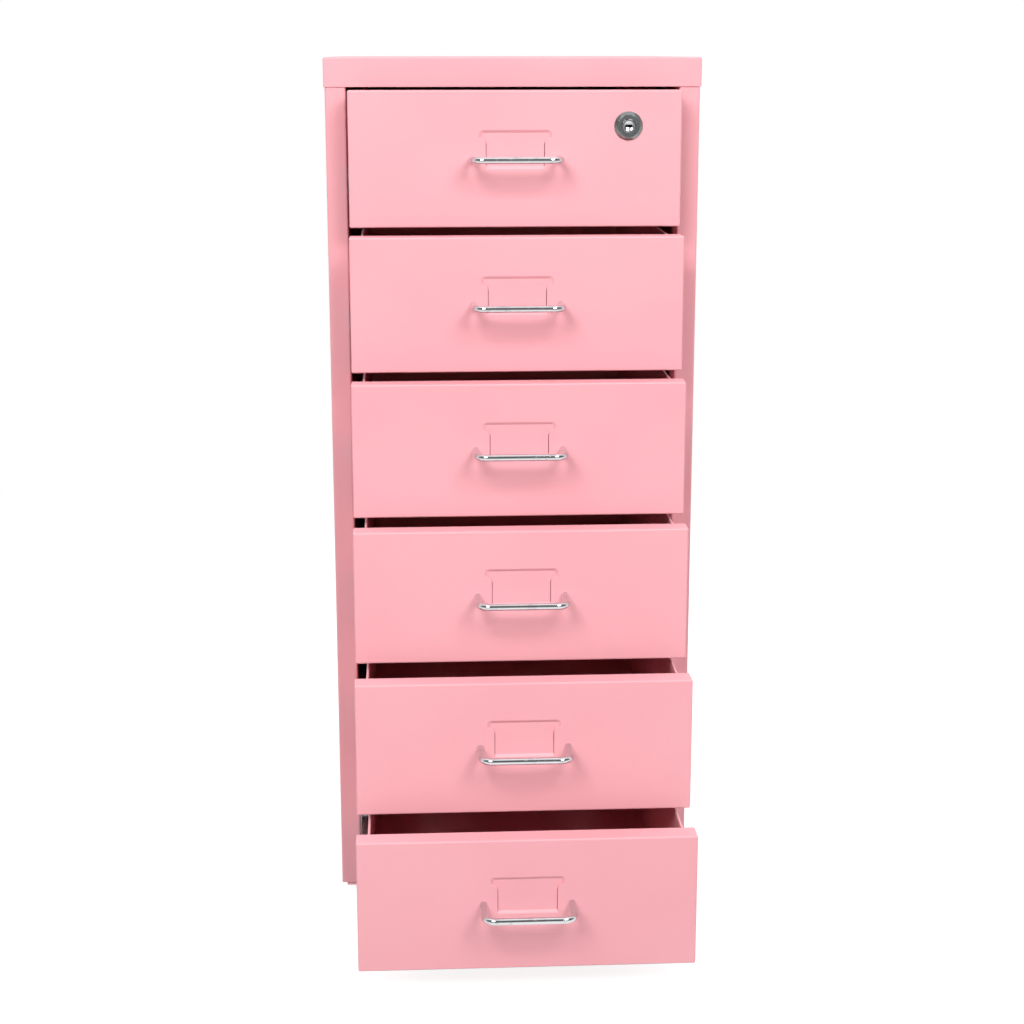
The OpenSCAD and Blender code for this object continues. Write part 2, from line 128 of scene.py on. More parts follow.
@dataclass(frozen=True)
class Spot:
    """One vertex, edge or face as a selection test sees it.

    Attributes:
        middle: Its middle, in millimetres.
        along: A face's or vertex's normal, or an edge's direction.
        rim: Whether it is an edge with a face on one side only.
    """

    middle: Vector
    along: Vector
    rim: bool = False


def deselect() -> None:
    """Leaves every object deselected, in object mode."""
    if bpy.context.mode != "OBJECT":
        bpy.ops.object.mode_set(mode="OBJECT")
    bpy.ops.object.select_all(action="DESELECT")


def hold(piece: Obj) -> Obj:
    """Makes one piece the active and only selected object.

    Args:
        piece: The piece.

    Returns:
        The same piece.
    """
    deselect()
    piece.select_set(True)
    bpy.context.view_layer.objects.active = piece
    return piece


def fresh(name: str) -> Obj:
    """Names the primitive that was just added, and applies its place and size.

    Args:
        name: The piece's name.

    Returns:
        The piece.
    """
    piece = bpy.context.object
    piece.name = name
    bpy.ops.object.transform_apply(location=True, rotation=True, scale=True)
    return piece


def block(name: str, low: Triple, high: Triple) -> Obj:
    """Adds a box between two corners.

    Args:
        name: The piece's name.
        low: The lowest corner, in millimetres.
        high: The highest corner, in millimetres.

    Returns:
        The box.
    """
    deselect()
    bpy.ops.mesh.primitive_cube_add(
        size=1,
        location=[(a + b) / 2 for a, b in zip(low, high)],
        scale=[b - a for a, b in zip(low, high)],
    )
    return fresh(name)


def ring(name: str, centre: Triple, radius: float, steps: int = 48, upright: bool = True) -> Obj:
    """Adds a bare circle of edges.

    Args:
        name: The piece's name.
        centre: The middle, in millimetres.
        radius: The radius, in millimetres.
        steps: How many edges it has.
        upright: Whether it stands facing -Y, and otherwise it lies flat.

    Returns:
        The circle.
    """
    deselect()
    bpy.ops.mesh.primitive_circle_add(
        vertices=steps,
        radius=radius,
        fill_type="NOTHING",
        location=centre,
        rotation=(math.pi / 2 if upright else 0.0, 0.0, 0.0),
    )
    return fresh(name)


def rod(name: str, centre: Triple, radius: float, length: float, steps: int = 64) -> Obj:
    """Adds a closed cylinder along Y, as a cutting tool.

    Args:
        name: The tool's name.
        centre: The middle, in millimetres.
        radius: The radius, in millimetres.
        length: The length, in millimetres.
        steps: How many sides it has.

    Returns:
        The cylinder.
    """
    deselect()
    bpy.ops.mesh.primitive_cylinder_add(
        vertices=steps,
        radius=radius,
        depth=length,
        location=centre,
        rotation=(math.pi / 2, 0.0, 0.0),
    )
    return fresh(name)


@contextmanager
def editing(piece: Obj) -> Iterator[None]:
    """Holds a piece in edit mode with nothing selected.

    Args:
        piece: The piece to edit.
    """
    hold(piece)
    bpy.ops.object.mode_set(mode="EDIT")
    bpy.ops.mesh.select_all(action="DESELECT")
    try:
        yield
    finally:
        bpy.ops.object.mode_set(mode="OBJECT")


def pick(kind: Part, test: Callable[[Spot], bool]) -> int:
    """Selects what passes a test in the mesh being edited, and nothing else.

    Args:
        kind: Vertices, edges or faces.
        test: Says whether a spot is wanted.

    Returns:
        How many were selected.
    """
    bpy.ops.mesh.select_mode(type=kind.value)
    bpy.ops.mesh.select_all(action="DESELECT")
    data = bpy.context.edit_object.data
    mesh = bmesh.from_edit_mesh(data)
    found = 0
    if kind is Part.VERT:
        spots = [(v, Spot(v.co, v.normal)) for v in mesh.verts]
    elif kind is Part.EDGE:
        spots = [
            (
                e,
                Spot(
                    (e.verts[0].co + e.verts[1].co) / 2,
                    (e.verts[1].co - e.verts[0].co).normalized(),
                    len(e.link_faces) < 2,
                ),
            )
            for e in mesh.edges
        ]
    else:
        spots = [(f, Spot(f.calc_center_median(), f.normal)) for f in mesh.faces]
    for part, spot in spots:
        if test(spot):
            part.select_set(True)
            found += 1
    mesh.select_flush_mode()
    bmesh.update_edit_mesh(data)
    return found


def pick_all() -> None:
    """Selects the whole mesh being edited."""
    bpy.ops.mesh.select_all(action="SELECT")


def finish_with(piece: Obj, kind: str, **settings: object) -> None:
    """Adds one modifier to a piece and applies it.

    Args:
        piece: The piece.
        kind: The modifier's type.
        **settings: The modifier's values by name.
    """
    hold(piece)
    modifier = piece.modifiers.new(kind.lower(), kind)
    for name, value in settings.items():
        setattr(modifier, name, value)
    bpy.ops.object.modifier_apply(modifier=modifier.name)


def work(piece: Obj, tool: Obj, how: Join) -> None:
    """Joins a tool solid to a piece or cuts it out, and throws the tool away.

    Args:
        piece: The piece.
        tool: The solid that shapes it.
        how: Whether the tool is added or cut out.
    """
    finish_with(piece, "BOOLEAN", object=tool, operation=how.value, solver="EXACT")
    bpy.data.objects.remove(tool)


def tidy_slivers(piece: Obj, width: float) -> None:
    """Takes out edges and faces too small to be seen, and closes what they leave open.

    Args:
        piece: The piece.
        width: The greatest length of an edge that goes, in millimetres.
    """
    with editing(piece):
        pick_all()
        bpy.ops.mesh.remove_doubles(threshold=width)
        bpy.ops.mesh.dissolve_degenerate(threshold=width)
        pick_all()
        bpy.ops.mesh.fill_holes(sides=8)


def soften(piece: Obj, width: float, steps: int = 2, angle: float = 30.0) -> None:
    """Rounds a piece's sharp edges.

    Args:
        piece: The piece.
        width: The width of the rounding, in millimetres.
        steps: How many faces go round an edge.
        angle: The least angle, in degrees, of an edge that is rounded.
    """
    tidy_slivers(piece, SLIVER)
    finish_with(
        piece,
        "BEVEL",
        width=width,
        segments=steps,
        limit_method="ANGLE",
        angle_limit=math.radians(angle),
        use_clamp_overlap=True,
    )
    tidy_slivers(piece, SLIVER / 4)
    smooth(piece)


def smooth(piece: Obj, angle: float = 40.0) -> None:
    """Smooths the shading across shallow edges.

    Args:
        piece: The piece.
        angle: The widest angle, in degrees, that is smoothed over.
    """
    hold(piece)
    bpy.ops.object.shade_smooth_by_angle(angle=math.radians(angle))


def outward(piece: Obj) -> None:
    """Merges doubled vertices and turns every face outwards.

    Args:
        piece: The piece.
    """
    with editing(piece):
        pick_all()
        bpy.ops.mesh.remove_doubles(threshold=0.001)
        bpy.ops.mesh.normals_make_consistent(inside=False)


def lathe(name: str, profile: Profile, steps: int = 64, tube: bool = False) -> Obj:
    """Turns a profile about the Y axis through the origin.

    The first and last rings are closed with a flat face. A tube has none, because
    its profile runs back to its start.

    Args:
        name: The piece's name.
        profile: (radius, y) of each ring in turn, in millimetres.
        steps: How many sides it has.
        tube: Whether the profile runs back to its start.

    Returns:
        The turned piece.
    """
    last_r, last_y = profile[0]
    rings = [*profile[1:], profile[0]] if tube else profile[1:]
    piece = ring(name, (0.0, last_y, 0.0), last_r, steps)
    with editing(piece):
        pick(Part.EDGE, lambda s: True)
        for radius, y in rings:
            bpy.ops.mesh.extrude_edges_move(
                TRANSFORM_OT_translate={"value": (0.0, y - last_y, 0.0)}
            )
            ratio = radius / last_r
            bpy.ops.transform.resize(value=(ratio, 1.0, ratio), center_override=(0.0, y, 0.0))
            last_r, last_y = radius, y
        if not tube:
            pick(Part.EDGE, lambda s: s.rim)
            bpy.ops.mesh.edge_face_add()
    outward(piece)
    return piece


def drawn_sheet(
    name: str, low: Triple, high: Triple, left_open: Callable[[Spot], bool], bend: float, sheet: float
) -> Obj:
    """Adds a box of sheet that is open on one side, with rounded edges, as a press draws it.

    Args:
        name: The piece's name.
        low: The lowest corner, in millimetres.
        high: The highest corner, in millimetres.
        left_open: Says whether a face is the open side.
        bend: Outer radius of the rounded edges, in millimetres.
        sheet: Thickness of the sheet, in millimetres.

    Returns:
        The drawn sheet.
    """
    piece = block(name, low, high)
    with editing(piece):
        pick(Part.FACE, left_open)
        bpy.ops.mesh.delete(type="FACE")
        pick(Part.EDGE, lambda s: not s.rim)
        bpy.ops.mesh.bevel(offset=bend, segments=BEND_STEPS, affect="EDGES")
    finish_with(piece, "SOLIDIFY", thickness=sheet, offset=-1.0, use_even_offset=True)
    outward(piece)
    return piece


def gather(name: str, pieces: Sequence[Obj]) -> Obj:
    """Joins several pieces into one.

    Args:
        name: The joined piece's name.
        pieces: The pieces.

    Returns:
        The joined piece.
    """
    hold(pieces[0])
    for piece in pieces[1:]:
        piece.select_set(True)
    bpy.ops.object.join()
    joined = bpy.context.object
    joined.name = name
    return joined


def copy_of(
    master: Obj, name: str, offset: Triple = (0.0, 0.0, 0.0), turn: Matrix | None = None
) -> Obj:
    """Copies a piece with a mesh of its own.

    Args:
        master: The piece to copy.
        name: The copy's name.
        offset: How far the copy is moved, in millimetres.
        turn: A turn about the origin made before the move.

    Returns:
        The copy.
    """
    twin = master.copy()
    twin.data = master.data.copy()
    twin.name = name
    bpy.context.scene.collection.objects.link(twin)
    twin.data.transform(Matrix.Translation(offset) @ (turn or Matrix.Identity(4)))
    return twin


def into_frame(piece: Obj, corner: Triple) -> Obj:
    """Takes a piece from millimetres on the bench to metres in the frame.

    Its normals are weighted last, so that its flat faces shade flat.

    Args:
        piece: The piece.
        corner: Where the bench's origin goes, in metres.

    Returns:
        The same piece.
    """
    piece.data.transform(Matrix.Translation(corner) @ Matrix.Scale(MM, 4))
    piece.data.update()
    finish_with(piece, "WEIGHTED_NORMAL", keep_sharp=True, weight=80)
    return piece


# ---------------------------------------------------------------- finishes


def srgb(red: int, green: int, blue: int) -> Colour:
    """Turns a screen colour into the linear values that shaders take.

    Args:
        red: 0 to 255.
        green: 0 to 255.
        blue: 0 to 255.

    Returns:
        The linear colour with full alpha.
    """

    def linear(value: int) -> float:
        """One channel in linear light."""
        v = value / 255
        return v / 12.92 if v <= 0.04045 else ((v + 0.055) / 1.055) ** 2.4

    return (linear(red), linear(green), linear(blue), 1.0)


class Wiring:
    """Adds and joins the nodes of one tree."""

    def __init__(self, tree: Tree) -> None:
        """Empties the tree and keeps it.

        Args:
            tree: The node tree to fill.
        """
        self.tree = tree
        tree.nodes.clear()

    def feed(self, node: Node, inputs: dict[str | int, object]) -> None:
        """Sets a node's inputs, and joins those that are given as a socket.

        Args:
            node: The node.
            inputs: Sockets or plain values by input name or number.
        """
        for key, value in inputs.items():
            socket = node.inputs[key]
            if isinstance(value, Socket):
                self.tree.links.new(value, socket)
            else:
                socket.default_value = value

    def add(
        self, kind: str, inputs: dict[str | int, object] | None = None, **values: object
    ) -> Node:
        """Adds a node, sets it, and joins what is given as a socket.

        Args:
            kind: The node's type.
            inputs: Sockets or plain values by input name or number.
            **values: The node's own settings.

        Returns:
            The node.
        """
        node = self.tree.nodes.new(kind)
        for name, value in values.items():
            setattr(node, name, value)
        self.feed(node, inputs or {})
        return node

    def math(
        self, operation: str, first: object, second: object = 0.0, third: object = 0.0
    ) -> Socket:
        """Adds a math node.

        Args:
            operation: Blender's name of the sum.
            first: Its first value or socket.
            second: Its second value or socket.
            third: Its third value or socket.

        Returns:
            The node's output socket.
        """
        node = self.add("ShaderNodeMath", {0: first, 1: second, 2: third}, operation=operation)
        return node.outputs[0]

    def span(
        self, value: object, low: float, high: float, to_low: object = 0.0, to_high: object = 1.0
    ) -> Socket:
        """Maps a value smoothly from one range to another.

        Args:
            value: The socket to map.
            low: Start of its range.
            high: End of its range.
            to_low: The value or socket that the start becomes.
            to_high: The value or socket that the end becomes.

        Returns:
            The mapped socket.
        """
        node = self.add(
            "ShaderNodeMapRange",
            {"Value": value, 1: low, 2: high, 3: to_low, 4: to_high},
            interpolation_type="SMOOTHSTEP",
        )
        return node.outputs["Result"]

    def noise(
        self, place: object, scale: float, detail: float = 2.0, rough: float = 0.5
    ) -> Socket:
        """Adds a noise texture.

        Args:
            place: The coordinates.
            scale: How many features there are to a metre.
            detail: How many finer layers are added.
            rough: How strong those layers are.

        Returns:
            The noise's value socket.
        """
        node = self.add(
            "ShaderNodeTexNoise",
            {"Vector": place, "Scale": scale, "Detail": detail, "Roughness": rough},
        )
        return node.outputs[0]

    def blend(self, share: object, first: object, second: object) -> Socket:
        """Mixes two colours.

        Args:
            share: How much of the second colour there is.
            first: The first colour or socket.
            second: The second colour or socket.

        Returns:
            The mixed colour's socket.
        """
        # a mix node has sockets for each type: its colours go in at 6 and 7 and come out at 2
        colours = {0: share, 6: first, 7: second}
        return self.add("ShaderNodeMix", colours, data_type="RGBA", clamp_factor=True).outputs[2]


class Effects:
    """The shader groups that several finishes share, each built once.

    The named scales say how many features of a pattern there are to a metre.
    """

    CLOUDS = 9.0
    FLECKS = 1900.0
    PEEL = 520.0
    DUST = 2600.0
    HANDLING = 24.0
    STREAKS = 1500.0
    BLOOM = 60.0
    GRAINS = 420.0
    FILM = 130.0
    HAIRLINES = 4200.0

    def __init__(self) -> None:
        """Builds the groups."""
        self.coat = self._group(
            "powder_coat_surface",
            {"Place": "NodeSocketVector", "Colour": "NodeSocketColor", "Deeper": "NodeSocketColor"},
            {"Colour": "NodeSocketColor", "Roughness": "NodeSocketFloat", "Height": "NodeSocketFloat"},
        )
        self._fill_coat()
        self.rolled = self._group(
            "rolled_metal_surface",
            {"Place": "NodeSocketVector", "Colour": "NodeSocketColor", "Stain": "NodeSocketColor"},
            {"Colour": "NodeSocketColor", "Roughness": "NodeSocketFloat", "Height": "NodeSocketFloat"},
        )
        self._fill_rolled()
        self.smudges = self._group(
            "smudges",
            {"Place": "NodeSocketVector"},
            {"Film": "NodeSocketFloat", "Scratches": "NodeSocketFloat"},
        )
        self._fill_smudges()

    @staticmethod
    def _group(name: str, inputs: dict[str, str], outputs: dict[str, str]) -> Wiring:
        """Makes an empty shader group.

        Args:
            name: The group's name.
            inputs: Socket types by input name.
            outputs: Socket types by output name.

        Returns:
            The wiring of the group's tree.
        """
        tree = bpy.data.node_groups.new(name, "ShaderNodeTree")
        for label, kind in inputs.items():
            tree.interface.new_socket(label, in_out="INPUT", socket_type=kind)
        for label, kind in outputs.items():
            tree.interface.new_socket(label, in_out="OUTPUT", socket_type=kind)
        return Wiring(tree)

    def _fill_coat(self) -> None:
        """Powder coat: faint clouds of colour, orange peel and a fine sparkle of gloss."""
        w = self.coat
        given = w.add("NodeGroupInput").outputs
        clouds = w.span(w.noise(given["Place"], self.CLOUDS, 3.0), 0.35, 0.7, 0.0, 0.5)
        flecks = w.span(w.noise(given["Place"], self.FLECKS, 1.0), 0.56, 0.74, 0.0, 0.22)
        colour = w.blend(w.math("ADD", clouds, flecks), given["Colour"], given["Deeper"])
        peel = w.noise(given["Place"], self.PEEL, 2.0, 0.55)
        dust = w.noise(given["Place"], self.DUST, 1.0)
        height = w.math("MULTIPLY_ADD", dust, 0.25, peel)
        handled = w.noise(given["Place"], self.HANDLING, 3.0, 0.6)
        gloss = w.math("ADD", w.span(handled, 0.3, 0.75, 0.4, 0.5), w.span(dust, 0.4, 0.7, 0.0, 0.05))
        w.add("NodeGroupOutput", {"Colour": colour, "Roughness": gloss, "Height": height})

    def _fill_rolled(self) -> None:
        """Plated sheet steel: streaks along Y from rolling, and cloudy passivation."""
        w = self.rolled
        given = w.add("NodeGroupInput").outputs
        drawn = w.add("ShaderNodeMapping", {"Vector": given["Place"], "Scale": (1.0, 0.025, 1.0)})
        streak = w.noise(drawn.outputs[0], self.STREAKS, 3.0, 0.6)
        bloom = w.noise(given["Place"], self.BLOOM, 4.0, 0.6)
        grains = w.add(
            "ShaderNodeTexVoronoi",
            {"Vector": given["Place"], "Scale": self.GRAINS},
            feature="SMOOTH_F1",
        ).outputs["Distance"]
        share = w.math("ADD", w.span(bloom, 0.35, 0.75, 0.0, 0.8), w.span(grains, 0.2, 0.8, 0.0, 0.2))
        colour = w.blend(share, given["Colour"], given["Stain"])
        rough = w.math("ADD", w.span(streak, 0.3, 0.7, 0.24, 0.36), w.span(bloom, 0.3, 0.8, 0.0, 0.08))
        w.add("NodeGroupOutput", {"Colour": colour, "Roughness": rough, "Height": streak})

    def _fill_smudges(self) -> None:
        """Bright metal that has been handled: a thin film in patches and hairline marks."""
        w = self.smudges
        given = w.add("NodeGroupInput").outputs
        film = w.span(w.noise(given["Place"], self.FILM, 4.0, 0.65), 0.48, 0.72)
        drawn = w.add(
            "ShaderNodeMapping",
            {"Vector": given["Place"], "Rotation": (0.2, 0.35, 0.5), "Scale": (0.06, 1.0, 1.0)},
        )
        hair = w.span(w.noise(drawn.outputs[0], self.HAIRLINES, 1.0), 0.66, 0.72)
        w.add("NodeGroupOutput", {"Film": film, "Scratches": hair})


@dataclass(frozen=True)
class Finish:
    """One material.

    Attributes:
        name: The material's name.
        slot: The record's slot that it answers to.
    """

    name: str
    slot: Slot

    def make(self, effects: Effects) -> Mat:
        """Builds the material.

        Args:
            effects: The shared shader groups.

        Returns:
            The material.
        """
        material = bpy.data.materials.new(self.name)
        material.use_nodes = True
        wiring = Wiring(material.node_tree)
        shader = wiring.add("ShaderNodeBsdfPrincipled")
        wiring.add("ShaderNodeOutputMaterial", {"Surface": shader.outputs[0]})
        place = wiring.add("ShaderNodeTexCoord").outputs["Object"]
        self.wire(wiring, shader, place, effects)
        return material

    def wire(self, w: Wiring, shader: Node, place: Socket, effects: Effects) -> None:
        """Joins the finish's own nodes to its shader.

        Args:
            w: The material's wiring.
            shader: Its Principled shader.
            place: Its Object coordinates.
            effects: The shared shader groups.
        """
        raise NotImplementedError

    @staticmethod
    def bump(w: Wiring, shader: Node, height: Socket, strength: float, distance: float) -> None:
        """Raises the surface by a height.

        Args:
            w: The material's wiring.
            shader: Its Principled shader.
            height: The height's socket.
            strength: How much of the bump shows.
            distance: The real height of a full step, in metres.
        """
        node = w.add("ShaderNodeBump", {"Height": height, "Strength": strength, "Distance": distance})
        w.feed(shader, {"Normal": node.outputs[0]})


@dataclass(frozen=True)
class PowderCoat(Finish):
    """Baked powder paint on sheet steel.

    Attributes:
        colour: Its colour on screen.
        deeper: The colour of its deeper clouds.
        gloss: How much clear gloss lies over it.
        haze: How rough that gloss is.
        peel: The height of its orange peel, in metres.
    """

    colour: ScreenColour = (250, 178, 186)
    deeper: ScreenColour = (247, 170, 179)
    gloss: float = 0.06
    haze: float = 0.3
    peel: float = 0.00004

    def wire(self, w: Wiring, shader: Node, place: Socket, effects: Effects) -> None:
        """Paint with orange peel, faint clouds and a thin clear gloss.

        Args:
            w: The material's wiring.
            shader: Its Principled shader.
            place: Its Object coordinates.
            effects: The shared shader groups.
        """
        given = {"Place": place, "Colour": srgb(*self.colour), "Deeper": srgb(*self.deeper)}
        coat = w.add("ShaderNodeGroup", given, node_tree=effects.coat.tree).outputs
        w.feed(shader, {"Base Color": coat["Colour"], "Roughness": coat["Roughness"]})
        w.feed(shader, {"Coat Weight": self.gloss, "Coat Roughness": self.haze})
        self.bump(w, shader, coat["Height"], strength=0.5, distance=self.peel)


@dataclass(frozen=True)
class RolledMetal(Finish):
    """Rolled metal, plated or bare.

    Attributes:
        colour: Its colour on screen.
        stain: The colour of its clouded patches.
        streaks: The height of its rolling streaks, in metres.
    """

    colour: ScreenColour = (204, 208, 212)
    stain: ScreenColour = (176, 176, 172)
    streaks: float = 0.00002

    def wire(self, w: Wiring, shader: Node, place: Socket, effects: Effects) -> None:
        """Metal with rolling streaks and clouded plating.

        Args:
            w: The material's wiring.
            shader: Its Principled shader.
            place: Its Object coordinates.
            effects: The shared shader groups.
        """
        given = {"Place": place, "Colour": srgb(*self.colour), "Stain": srgb(*self.stain)}
        rolled = w.add("ShaderNodeGroup", given, node_tree=effects.rolled.tree).outputs
        w.feed(shader, {"Base Color": rolled["Colour"], "Roughness": rolled["Roughness"], "Metallic": 1.0})
        self.bump(w, shader, rolled["Height"], strength=0.3, distance=self.streaks)


@dataclass(frozen=True)
class BrightChrome(Finish):
    """Polished chrome plate with a few handling marks.

    Attributes:
        colour: Its colour on screen.
        dulled: Its colour under a film of handling.
        scratches: The depth of its hairline marks, in metres.
    """

    colour: ScreenColour = (207, 208, 210)
    dulled: ScreenColour = (188, 189, 192)
    scratches: float = 0.00001

    def wire(self, w: Wiring, shader: Node, place: Socket, effects: Effects) -> None:
        """Mirror metal, duller where it has been touched.

        Args:
            w: The material's wiring.
            shader: Its Principled shader.
            place: Its Object coordinates.
            effects: The shared shader groups.
        """
        marks = w.add("ShaderNodeGroup", {"Place": place}, node_tree=effects.smudges.tree).outputs
        colour = w.blend(marks["Film"], srgb(*self.colour), srgb(*self.dulled))
        rough = w.math("MULTIPLY_ADD", marks["Film"], 0.06, 0.045)
        rough = w.math("MULTIPLY_ADD", marks["Scratches"], 0.12, rough)
        w.feed(shader, {"Base Color": colour, "Roughness": rough, "Metallic": 1.0})
        self.bump(w, shader, marks["Scratches"], strength=0.15, distance=self.scratches)


@dataclass(frozen=True)
class SatinNickel(Finish):
    """The lock's satin face, faintly turned about its axis.

    Attributes:
        axis: Where the lock's axis is, in metres.
        light: The colour of its light rings on screen.
        dark: The colour of its dark rings on screen.
        fine: How many rings there are to a metre.
        rings: The height of its rings, in metres.
    """

    axis: Triple = (0.0, 0.0, 0.0)
    light: ScreenColour = (160, 161, 161)
    dark: ScreenColour = (118, 122, 123)
    fine: float = 5200.0
    rings: float = 0.00002

    def wire(self, w: Wiring, shader: Node, place: Socket, effects: Effects) -> None:
        """Grey plate with fine rings from turning, and smudges.

        Args:
            w: The material's wiring.
            shader: Its Principled shader.
            place: Its Object coordinates.
            effects: The shared shader groups.
        """
        centred = w.add("ShaderNodeMapping", {"Vector": place, "Location": [-v for v in self.axis]})
        parts = w.add("ShaderNodeSeparateXYZ", {0: centred.outputs[0]}).outputs
        flat = w.add("ShaderNodeCombineXYZ", {0: parts[0], 2: parts[2]}).outputs[0]
        radius = w.add("ShaderNodeVectorMath", {0: flat}, operation="LENGTH").outputs["Value"]
        drift = w.math("MULTIPLY", parts[2], 0.08)
        turned = w.add("ShaderNodeCombineXYZ", {0: radius, 1: drift}).outputs[0]
        rings = w.noise(turned, self.fine, 2.0, 0.6)
        marks = w.add("ShaderNodeGroup", {"Place": place}, node_tree=effects.smudges.tree).outputs
        colour = w.blend(w.span(rings, 0.3, 0.7), srgb(*self.light), srgb(*self.dark))
        rough = w.math("MULTIPLY_ADD", marks["Film"], 0.1, w.span(rings, 0.3, 0.7, 0.2, 0.32))
        w.feed(shader, {"Base Color": colour, "Roughness": rough, "Metallic": 1.0})
        self.bump(w, shader, rings, strength=0.35, distance=self.rings)


@dataclass(frozen=True)
class MouldedPlastic(Finish):
    """Moulded nylon or polythene.

    Attributes:
        colour: Its colour on screen.
        worn: The colour of its scuffed spots.
        grain: How many grains there are to a metre.
        rough: Its roughness where it isn't scuffed.
        depth: The height of its grain, in metres.
    """

    colour: ScreenColour = (236, 233, 222)
    worn: ScreenColour = (222, 217, 203)
    grain: float = 1400.0
    rough: float = 0.42
    depth: float = 0.00006

    def wire(self, w: Wiring, shader: Node, place: Socket, effects: Effects) -> None:
        """Plastic with a spark-eroded grain and scuffs.

        Args:
            w: The material's wiring.
            shader: Its Principled shader.
            place: Its Object coordinates.
            effects: The shared shader groups, which are not used here.
        """
        grains = w.add(
            "ShaderNodeTexVoronoi", {"Vector": place, "Scale": self.grain}, feature="SMOOTH_F1"
        ).outputs["Distance"]
        scuffs = w.span(w.noise(place, 210.0, 5.0, 0.65), 0.5, 0.72)
        colour = w.blend(scuffs, srgb(*self.colour), srgb(*self.worn))
        rough = w.math("MULTIPLY_ADD", scuffs, 0.12, self.rough)
        w.feed(shader, {"Base Color": colour, "Roughness": rough})
        self.bump(w, shader, grains, strength=0.4, distance=self.depth)


@dataclass
class Finishes:
    """Every material of the cabinet, made once.

    Attributes:
        lock_axis: Where the lock's axis is, in metres.
        effects: The shader groups that the finishes share.
        made: The materials by name.
    """

    lock_axis: Triple
    effects: Effects = field(default_factory=Effects)
    made: dict[str, Mat] = field(default_factory=dict)

    def __post_init__(self) -> None:
        """Makes the materials."""
        for finish in (
            PowderCoat("pink_powder_coat", Slot.PINK),
            RolledMetal("zinc_plated_steel", Slot.ZINC),
            # the wafers' brass is darker than oiled brass: painted shade for the deep key slot
            RolledMetal("oiled_wafer_brass_and_slot_shade", Slot.ZINC, (62, 55, 44), (28, 25, 21)),
            BrightChrome("bright_chrome", Slot.CHROME),
            SatinNickel("lock_face_plate", Slot.CHROME, self.lock_axis),
            MouldedPlastic("slide_nylon", Slot.NYLON),
            MouldedPlastic("foot_polythene", Slot.FOOT, (44, 44, 46), (70, 70, 72), 900.0, 0.5),
        ):
            self.made[finish.name] = finish.make(self.effects)
            LOG.info("finish %s", finish.name)

    def dress(self, node: str, finish: str) -> None:
        """Gives a CAD node its finish.

        Args:
            node: The node's name.
            finish: The finish's name.
        """
        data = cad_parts[node].data
        data.materials.clear()
        data.materials.append(self.made[finish])
        LOG.info("node %s keeps its shape, in %s", node, finish)

    def install(self, piece: Obj, body: str, finish: str, slot: Slot, *nodes: str) -> None:
        """Gives a new piece its finish and its place in the frame.

        Args:
            piece: The piece, already in the frame's place.
            body: The body that it rides on.
            finish: The finish's name.
            slot: The record's material slot, which is not used.
            *nodes: The CAD nodes that it stands for.
        """
        piece.data.materials.clear()
        piece.data.materials.append(self.made[finish])
        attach(piece, body)
        if nodes:
            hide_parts(*nodes)
        LOG.info("piece %s rides on %s, in %s", piece.name, body, finish)


# ---------------------------------------------------------------- drawers


